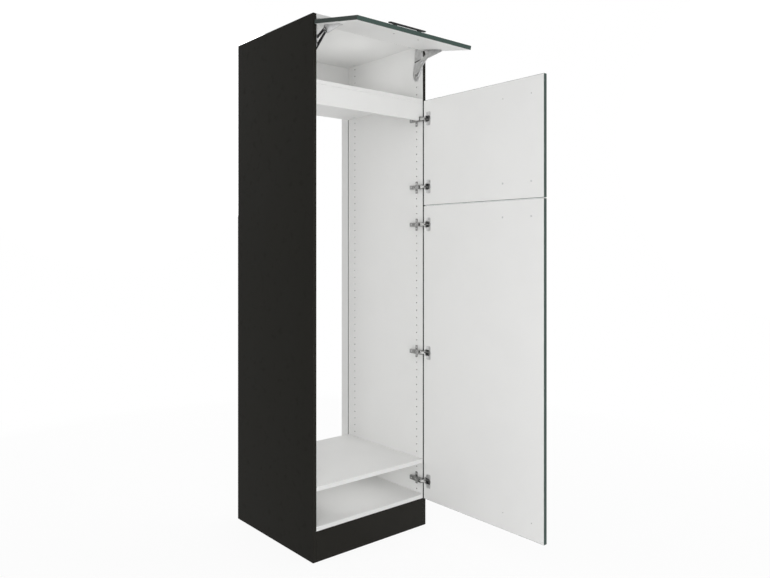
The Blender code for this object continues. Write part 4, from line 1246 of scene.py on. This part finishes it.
def addHinges():
    doors = list(hingeHeights)
    levels = [height for door in doors for height in hingeHeights[door]]
    up = [(0, 0, level) for level in levels]
    addRepeats('hingePlates', plateMesh(), up, armSteel, 'carcass', hingeNodes(doors, 'plate'))
    addRepeats('hingeArms', armMesh(), up, armSteel, 'carcass', hingeNodes(doors, 'arm'))
    addRepeats('armPins', armPinMesh(), up, linkSteel, 'carcass')
    web, half = cabinet['innerRight'] - hinge['armHeight'], cabinet['rowPitch'] / 2
    seat = cabinet['innerRight'] - fronts['seam'] - hinge['plate']
    well = web + hinge['armWeb'] * hinge['wellShare']
    rows = (
        ('plateScrews', 'panel', seat, cabinet['rowFront'], (-half, half)),
        ('armFixings', 'fixing', web, hinge['fixScrew'], (0,)),
        ('armSettings', 'setting', well, hinge['setScrew'], (0,)),
    )
    for name, kind, x, y, steps in rows:
        spots = [(x, y, level + step) for level in levels for step in steps]
        addScrews(name, kind, spots, (-1, 0, 0), 'carcass', (), cabinet['place'])

    inset, half = fronts['cupInset'] + hinge['earOffset'], hinge['earScrews'] / 2
    seat = -fronts['seam'] - hinge['flange'] + hinge['earStep'] + hinge['screwSink']
    cupFinishes = (plateSteel, sunkSteel, armSteel)
    for door in doors:
        tag, levels = door.split('_')[0], hingeHeights[door]
        up = [(0, 0, level) for level in levels]
        for kind, mesh in (('short', shortLinkMesh()), ('long', longLinkMesh())):
            name, body = tag + kind.capitalize() + 'Links', tag + '_' + kind + '_links'
            addRepeats(name, mesh, up, linkSteel, body, hingeNodes([door], kind + '_link'), 'dark_steel')
        addPiece(tag + 'Cups', cupRow(levels), cupFinishes, door, hingeNodes([door], 'cup'))
        addRepeats(tag + 'CupPins', placed(cupPinMesh(), doorPlace), up, linkSteel, door)
        spots = [(inset, seat, level + step) for level in levels for step in (-half, half)]
        addScrews(tag + 'CupScrews', 'front', spots, (0, -1, 0), door, (), doorPlace)


addHinges()
print("hinges made")


# Flap lifts: a spring body on each side panel, a lever, a stay and a bracket on the flap
lift = {
    'leverBase': (0.024461, 1.930294),
    'leverTip': flap['pin'][1:],
    'stayBase': (0.000221, 1.977376),
    'stayPin': (0.03523, 0.01598),
    'bodyLayer': (0.0003, 0.0069),
    'stayLayer': (0.0072, 0.0099),
    'leverLayer': (0.0102, 0.0129),
    'bracketLayer': (0.0132, 0.0157),
    'basePlate': 0.002,
    'margin': 0.0015,
    'round': 0.006,
    'front': 0.002,
    'ear': 0.0075,
    'top': cabinet['rowTop'],
    'bottom': 1.9066,
    'heel': 0.055,
    'shoulder': 0.030,
    'hub': 0.0080,
    'ring': 0.0022,
    'boss': 0.002,
    'grooveLow': (-0.003, 0.004),
    'grooveHigh': (0.004, 0.009),
    'grooveRadii': (0.0026, 0.0016),
    'grooveSink': 0.0009,
    'grooveNear': 0.0002,
    'bodySoft': 0.0005,
    'eye': 0.0052,
    'stayEye': 0.0056,
    'pin': 0.003,
    'pinPlay': 0.0003,
    'pinShort': 0.0003,
    'pinSink': 0.0015,
    'pinSoft': 0.0003,
    'stayPlay': 0.0013,
    'armSoft': 0.00035,
    'pocket': 0.0004,
    'pocketMargin': 0.0026,
    'start': 0.020,
    'end': 0.120,
    'tail': 0.007,
    'tip': 0.012,
    'bracketRound': 0.004,
    'bracketPocket': (0.034, 0.022, 0.006),
    'pocketPeak': (0.038, 0.014),
    'pocketRound': 0.002,
    'flange': 0.002,
    'flangeWidth': 0.016,
    'flangeRound': 0.003,
    'screwShares': (0.20, 0.55, 0.88),
}


# Where a layer lies, counted from the inner face of the left (-1) or right (1) side panel
def layerSpan(side, layer):
    return sorted(side * (cabinet['innerHalf'] - distance) for distance in layer)


# The same for a pocket, which opens toward the middle of the cabinet
def pocketSpan(side, layer):
    low, high = layerSpan(side, layer)
    face = low if side > 0 else high
    return sorted((face + side * lift['pocket'], face - side * cabinet['overrun']))


# In the cabinet's side view: from its front edge and the floor
def liftBodyMesh(side):
    top, bottom, ear, hub = lift['top'], lift['bottom'], lift['ear'], lift['hub']
    row, front, heel, margin = cabinet['rowFront'], lift['front'], lift['heel'], lift['margin']
    (inside, skin), plate, sink = lift['bodyLayer'], lift['basePlate'], lift['grooveSink']
    lever, stay = [(y - cabinet['front'], z) for y, z in (lift['leverBase'], lift['stayBase'])]
    base = [
        (front, top + ear), (row + ear, top + ear), (row + ear, stay[1]), (heel, lever[1] + hub),
        (heel, bottom + ear), (row + ear, bottom - ear), (row - ear, bottom - ear),
        (front, stay[1] - lift['shoulder']),
    ]
    casing = [
        (front + margin, top - ear), (row + ear - margin, top - ear - margin), (row + ear - margin, stay[1]),
        (heel - margin, lever[1] + hub - margin), (heel - margin, bottom + 2 * ear),
        (row - ear - margin, bottom + ear + margin), (front + margin, stay[1] - lift['shoulder'] + margin),
    ]
    steps, sides, soft = curveSteps['casing'], curveSteps['hub'], lift['bodySoft']
    base, casing = [roundedOutline(corners, lift['round'], steps) for corners in (base, casing)]
    mesh = shapeMesh(addPrism, base, sideView, *layerSpan(side, (inside, inside + plate)))
    layer = layerSpan(side, (inside + plate / 2, skin))
    mesh = joinedTo(mesh, shape(addPrism, casing, sideView, *layer))

    # A nearly level groove above the hub, and a ring around it, as pressed into the casing
    layer = layerSpan(side, (skin - sink, skin + cabinet['overrun']))
    low = (row + ear + lift['grooveLow'][0], stay[1] + lift['grooveLow'][1])
    high = (front + lift['grooveHigh'][0], stay[1] + lift['grooveHigh'][1])
    grooves = shape(addPrism, linkOutline(low, high, *lift['grooveRadii'], steps), sideView, *layer)
    addPrism(grooves, circle(lever, hub + lift['ring'], sides), sideView, *layer)
    layer = layerSpan(side, (skin - lift['boss'], skin))
    boss = shape(addPrism, circle(lever, hub, sides), sideView, *layer)
    mesh = eased(joinedTo(cutFrom(mesh, grooves), boss), soft, curveSteps['bevel'])
    floor = side * (cabinet['innerHalf'] - skin + sink)
    # The floors of the groove and the ring take black steel, as painted shade in the pressed recesses
    openSlots(mesh, 2)
    for face in mesh.polygons:
        face.material_index = int(abs(face.center.x - floor) < lift['grooveNear'])
    return placed(mesh, Matrix.Translation((0, cabinet['front'], 0)))


# Each pin has its place in the side view, and the distances that it starts and ends at
def pinsMesh(side, pins):
    bm = bmesh.new()
    for spot, *span in pins:
        low, high = layerSpan(side, span)
        addPin(bm, (low, *spot), (high, *spot), lift['pin'], roundSides['liftPin'])
    return eased(closedMesh(bm), lift['pinSoft'])


def liftPinMesh(side):
    inside, short = lift['bodyLayer'][1] - lift['pinSink'], lift['pinShort']
    lever = (lift['leverBase'], inside, lift['leverLayer'][1] - short)
    stay = (lift['stayBase'], inside, lift['stayLayer'][1] - short)
    return pinsMesh(side, (lever, stay))


# A flat arm between two pins in the side view, with an eye at each end and a pressed pocket
def liftArmMesh(side, base, tip, layer, baseRadius, tipRadius, tipHole):
    (low, high), over, margin = layerSpan(side, layer), cabinet['overrun'], lift['pocketMargin']
    outline = linkOutline(base, tip, baseRadius, tipRadius, curveSteps['arm'])
    mesh = shapeMesh(addPrism, outline, sideView, low, high)
    holes = bmesh.new()
    for spot, radius in ((base, lift['pin'] + lift['pinPlay']), (tip, tipHole)):
        addPin(holes, (low - over, *spot), (high + over, *spot), radius, roundSides['liftPin'])
    along = (Vector(tip) - Vector(base)).normalized()
    first = Vector(base) + along * (baseRadius + margin)
    second = Vector(tip) - along * (tipRadius + margin)
    wide, narrow = (baseRadius + tipRadius) / 2 - margin, tipRadius - margin
    outline = linkOutline(first, second, wide, narrow, curveSteps['end'])
    pocket = shape(addPrism, outline, sideView, *pocketSpan(side, layer))
    return eased(cutFrom(cutFrom(mesh, holes), pocket), lift['armSoft'], curveSteps['bevel'])


def toFlapPlane(inset, behind):
    spot = flapSpot(0, behind, inset)
    return spot.y, spot.z


def bracketMesh(side):
    start, end, seam, layer = lift['start'], lift['end'], fronts['seam'], lift['bracketLayer']
    inset, height, eye = flap['pinInset'], flap['pinHeight'], lift['eye']
    outline = [
        toFlapPlane(start, seam), toFlapPlane(end, seam), toFlapPlane(end, lift['tail']),
        toFlapPlane(inset + lift['tip'], height + eye), toFlapPlane(inset - eye, height + eye),
    ]
    outline = roundedOutline(outline, lift['bracketRound'], curveSteps['corner'])
    mesh = shapeMesh(addPrism, outline, sideView, *layerSpan(side, layer))
    near, far = layerSpan(side, (layer[0], layer[1] + lift['flangeWidth']))
    yLow, zHigh = toFlapPlane(start + lift['bracketRound'], seam)
    yHigh, zLow = toFlapPlane(end - lift['bracketRound'], seam + lift['flange'])
    corners = rectangle((near, zLow), (far, zHigh))
    flange = roundedOutline(corners, lift['flangeRound'], curveSteps['small'])
    mesh = joinedTo(mesh, shape(addPrism, flange, frontView, yLow, yHigh))
    first, last, behind = lift['bracketPocket']
    peak = toFlapPlane(start + lift['pocketPeak'][0], lift['pocketPeak'][1])
    corners = [toFlapPlane(start + first, behind), toFlapPlane(end - last, behind), peak]
    outline = roundedOutline(corners, lift['pocketRound'], curveSteps['small'])
    mesh = cutFrom(mesh, shape(addPrism, outline, sideView, *pocketSpan(side, layer)))
    return placed(eased(mesh, lift['armSoft'], curveSteps['bevel']), flapPlace)


def bracketPinMesh(side):
    inside, short = sum(lift['bracketLayer']) / 2, lift['pinShort']
    lever = (toFlapPlane(flap['pinInset'], flap['pinHeight']), lift['leverLayer'][0] + short, inside)
    stay = (toFlapPlane(*lift['stayPin']), lift['stayLayer'][0] + short, inside)
    return placed(pinsMesh(side, (lever, stay)), flapPlace)


def addLifts():
    stayTip = flapPlace @ flapSpot(0, lift['stayPin'][1], lift['stayPin'][0])
    hole, half = lift['pin'] + lift['pinPlay'], cabinet['innerHalf']
    leverEnds = (lift['leverBase'], lift['leverTip'], lift['leverLayer'], lift['hub'], lift['eye'], hole)
    hole, eye = lift['pin'] + lift['stayPlay'], lift['stayEye']
    stayEnds = (lift['stayBase'], (stayTip.y, stayTip.z), lift['stayLayer'], eye, eye, hole)
    seat, length = fronts['seam'] + lift['flange'], lift['end'] - lift['start']
    levels = [lift['start'] + share * length for share in lift['screwShares']]
    for side, tag in ((-1, 'left'), (1, 'right')):
        # The left lever and stay take black steel as painted shade, the right ones the plain plated steel
        finish = shadeBlackSteel if side < 0 else plateSteel
        lever, stay = liftArmMesh(side, *leverEnds), liftArmMesh(side, *stayEnds)
        pieces = (
            ('liftBody', liftBodyMesh(side), (castZinc, shadeBlackSteel), 'carcass', ('lift_body_' + tag,)),
            ('liftPins', liftPinMesh(side), (linkSteel,), 'carcass'),
            ('liftLever', lever, (finish,), 'lift_levers', ('lift_lever_' + tag,), 'dark_steel'),
            ('liftStay', stay, (finish,), 'lift_stays', ('lift_stay_' + tag,)),
            ('flapBracket', bracketMesh(side), (plateSteel,), 'flap', ('flap_bracket_' + tag,)),
            ('bracketPins', bracketPinMesh(side), (linkSteel,), 'flap'),
        )
        for name, *details in pieces:
            addPiece(name + tag.capitalize(), *details)
        x = side * (half - lift['bodyLayer'][0] - lift['basePlate'])
        spots = [(x, cabinet['rowFront'] + cabinet['front'], z) for z in (lift['top'], lift['bottom'])]
        addScrews('liftScrews' + tag.capitalize(), 'panel', spots, (-side, 0, 0), 'carcass')
        middle = side * (half - lift['bracketLayer'][1] - lift['flangeWidth'] / 2)
        spots = [flapSpot(middle, seat, level) for level in levels]
        addScrews('bracketScrews' + tag.capitalize(), 'front', spots, (0, 1, 0), 'flap', (), flapPlace)


addLifts()
print("lifts made")


# Room: a white floor that fades into the backdrop, a camera and soft lamps
room = {
    'floorHalf': 14.0,
    'floorTone': 0.95,
    'floorGlow': 0.92,
    'floorRough': 0.85,
    'floorUneven': 0.1,
    'floorCloud': (3.0, 2.0),
    'fade': (0.8, 3.0),
    'lensWidth': 36.0,
    'lens': 32.30,
    'cameraPlace': (-1.8453, -2.0846, 1.1806),
    'cameraTurn': -38.08,
    'shift': (0.0711, -0.0527),
    'skyLight': 0.48,
}
lamps = (
    {'name': 'keyLamp', 'place': (-3.0, -3.0, 3.4), 'aim': (0, 0, 1.0), 'size': 3.0, 'power': 27},
    {'name': 'frontLamp', 'place': (-2.8, -2.4, 1.2), 'aim': (0.1, 0.2, 1.2), 'size': 1.8, 'power': 35},
    {'name': 'lowLamp', 'place': (-0.9, -2.6, 0.3), 'aim': (0, -0.2, 1.9), 'size': 1.4, 'power': 8},
    {'name': 'backLamp', 'place': (0.6, 4.0, 2.4), 'aim': (0, 0, 1.0), 'size': 3.0, 'power': 44},
    {'name': 'rightLamp', 'place': (3.8, -0.2, 1.9), 'aim': (0.3, -0.1, 1.0), 'size': 2.6, 'power': 38},
    {'name': 'innerUpper', 'place': (0, 0.22, 1.835), 'aim': (0, 0.22, 3), 'size': 0.42, 'power': 0.32},
    {'name': 'innerLower', 'place': (0, 0.22, 0.262), 'aim': (0, 0.22, -1), 'size': 0.42, 'power': 0.2},
)


# 1 for the eye, the mirror and the glass
def seenShare(graph):
    seen = graph.node('ShaderNodeLightPath', output='Is Camera Ray')
    for ray in ('Is Glossy Ray', 'Is Transmission Ray'):
        seen = seen.most(Wire(graph, seen.graph.tree.nodes['Light Path'].outputs[ray]))
    return seen


def paleFloor():
    bm = bmesh.new()
    bmesh.ops.create_grid(bm, x_segments=1, y_segments=1, size=room['floorHalf'])
    floor = bpy.data.objects.new('floor', closedMesh(bm))
    bpy.context.scene.collection.objects.link(floor)
    finish = Finish('paleFloor')
    tone = room['floorTone']
    rough = room['floorRough'] + finish.noise(*room['floorCloud']).swing(room['floorUneven'])
    finish.set(Base_Color=(tone, tone, tone), Roughness=rough)
    glow = finish.node('ShaderNodeEmission', values={'Color': (1.0, 1.0, 1.0), 'Strength': 1.0})
    far = finish.node('ShaderNodeVectorMath', {'operation': 'LENGTH'}, {0: finish.place()}, 'Value')
    share = seenShare(finish) * far.ramp(*room['fade']).most(room['floorGlow'])
    lit = Wire(finish, finish.shader.outputs[0])
    blend = finish.node('ShaderNodeMixShader', values={0: share, 1: lit, 2: glow})
    finish.feed(finish.tree.nodes['Material Output'].inputs['Surface'], blend)
    floor.data.materials.append(finish.material)


# White behind the object, and a softer white on it
def studioSky():
    world = bpy.data.worlds.new('studio')
    world.use_nodes = True
    graph = Graph(world.node_tree)
    sky = graph.tree.nodes['Background']
    graph.feed(sky.inputs['Color'], (1.0, 1.0, 1.0))
    graph.feed(sky.inputs['Strength'], room['skyLight'])
    plain = graph.node('ShaderNodeBackground', values={'Color': (1.0, 1.0, 1.0), 'Strength': 1.0})
    values = {0: seenShare(graph), 1: Wire(graph, sky.outputs[0]), 2: plain}
    blend = graph.node('ShaderNodeMixShader', values=values)
    graph.feed(graph.tree.nodes['World Output'].inputs['Surface'], blend)
    bpy.context.scene.world = world


def softLamp(lamp):
    data = bpy.data.lights.new(lamp['name'], 'AREA')
    data.shape = 'DISK'
    data.size = lamp['size']
    data.energy = lamp['power']
    item = bpy.data.objects.new(lamp['name'], data)
    item.visible_camera = item.visible_glossy = not lamp['name'].startswith('inner')
    item.location = lamp['place']
    aim = Vector(lamp['aim']) - Vector(lamp['place'])
    item.rotation_euler = aim.to_track_quat('-Z', 'Y').to_euler()
    bpy.context.scene.collection.objects.link(item)


def photoCamera():
    data = bpy.data.cameras.new('photoCamera')
    data.sensor_width = room['lensWidth']
    data.lens = room['lens']
    data.shift_x, data.shift_y = room['shift']
    camera = bpy.data.objects.new('photoCamera', data)
    camera.location = room['cameraPlace']
    camera.rotation_euler = (math.radians(90), 0, math.radians(room['cameraTurn']))
    bpy.context.scene.collection.objects.link(camera)
    bpy.context.scene.camera = camera


paleFloor()
studioSky()
for lamp in lamps:
    softLamp(lamp)
photoCamera()
bpy.context.scene.view_settings.view_transform = 'Standard'
print("room made")
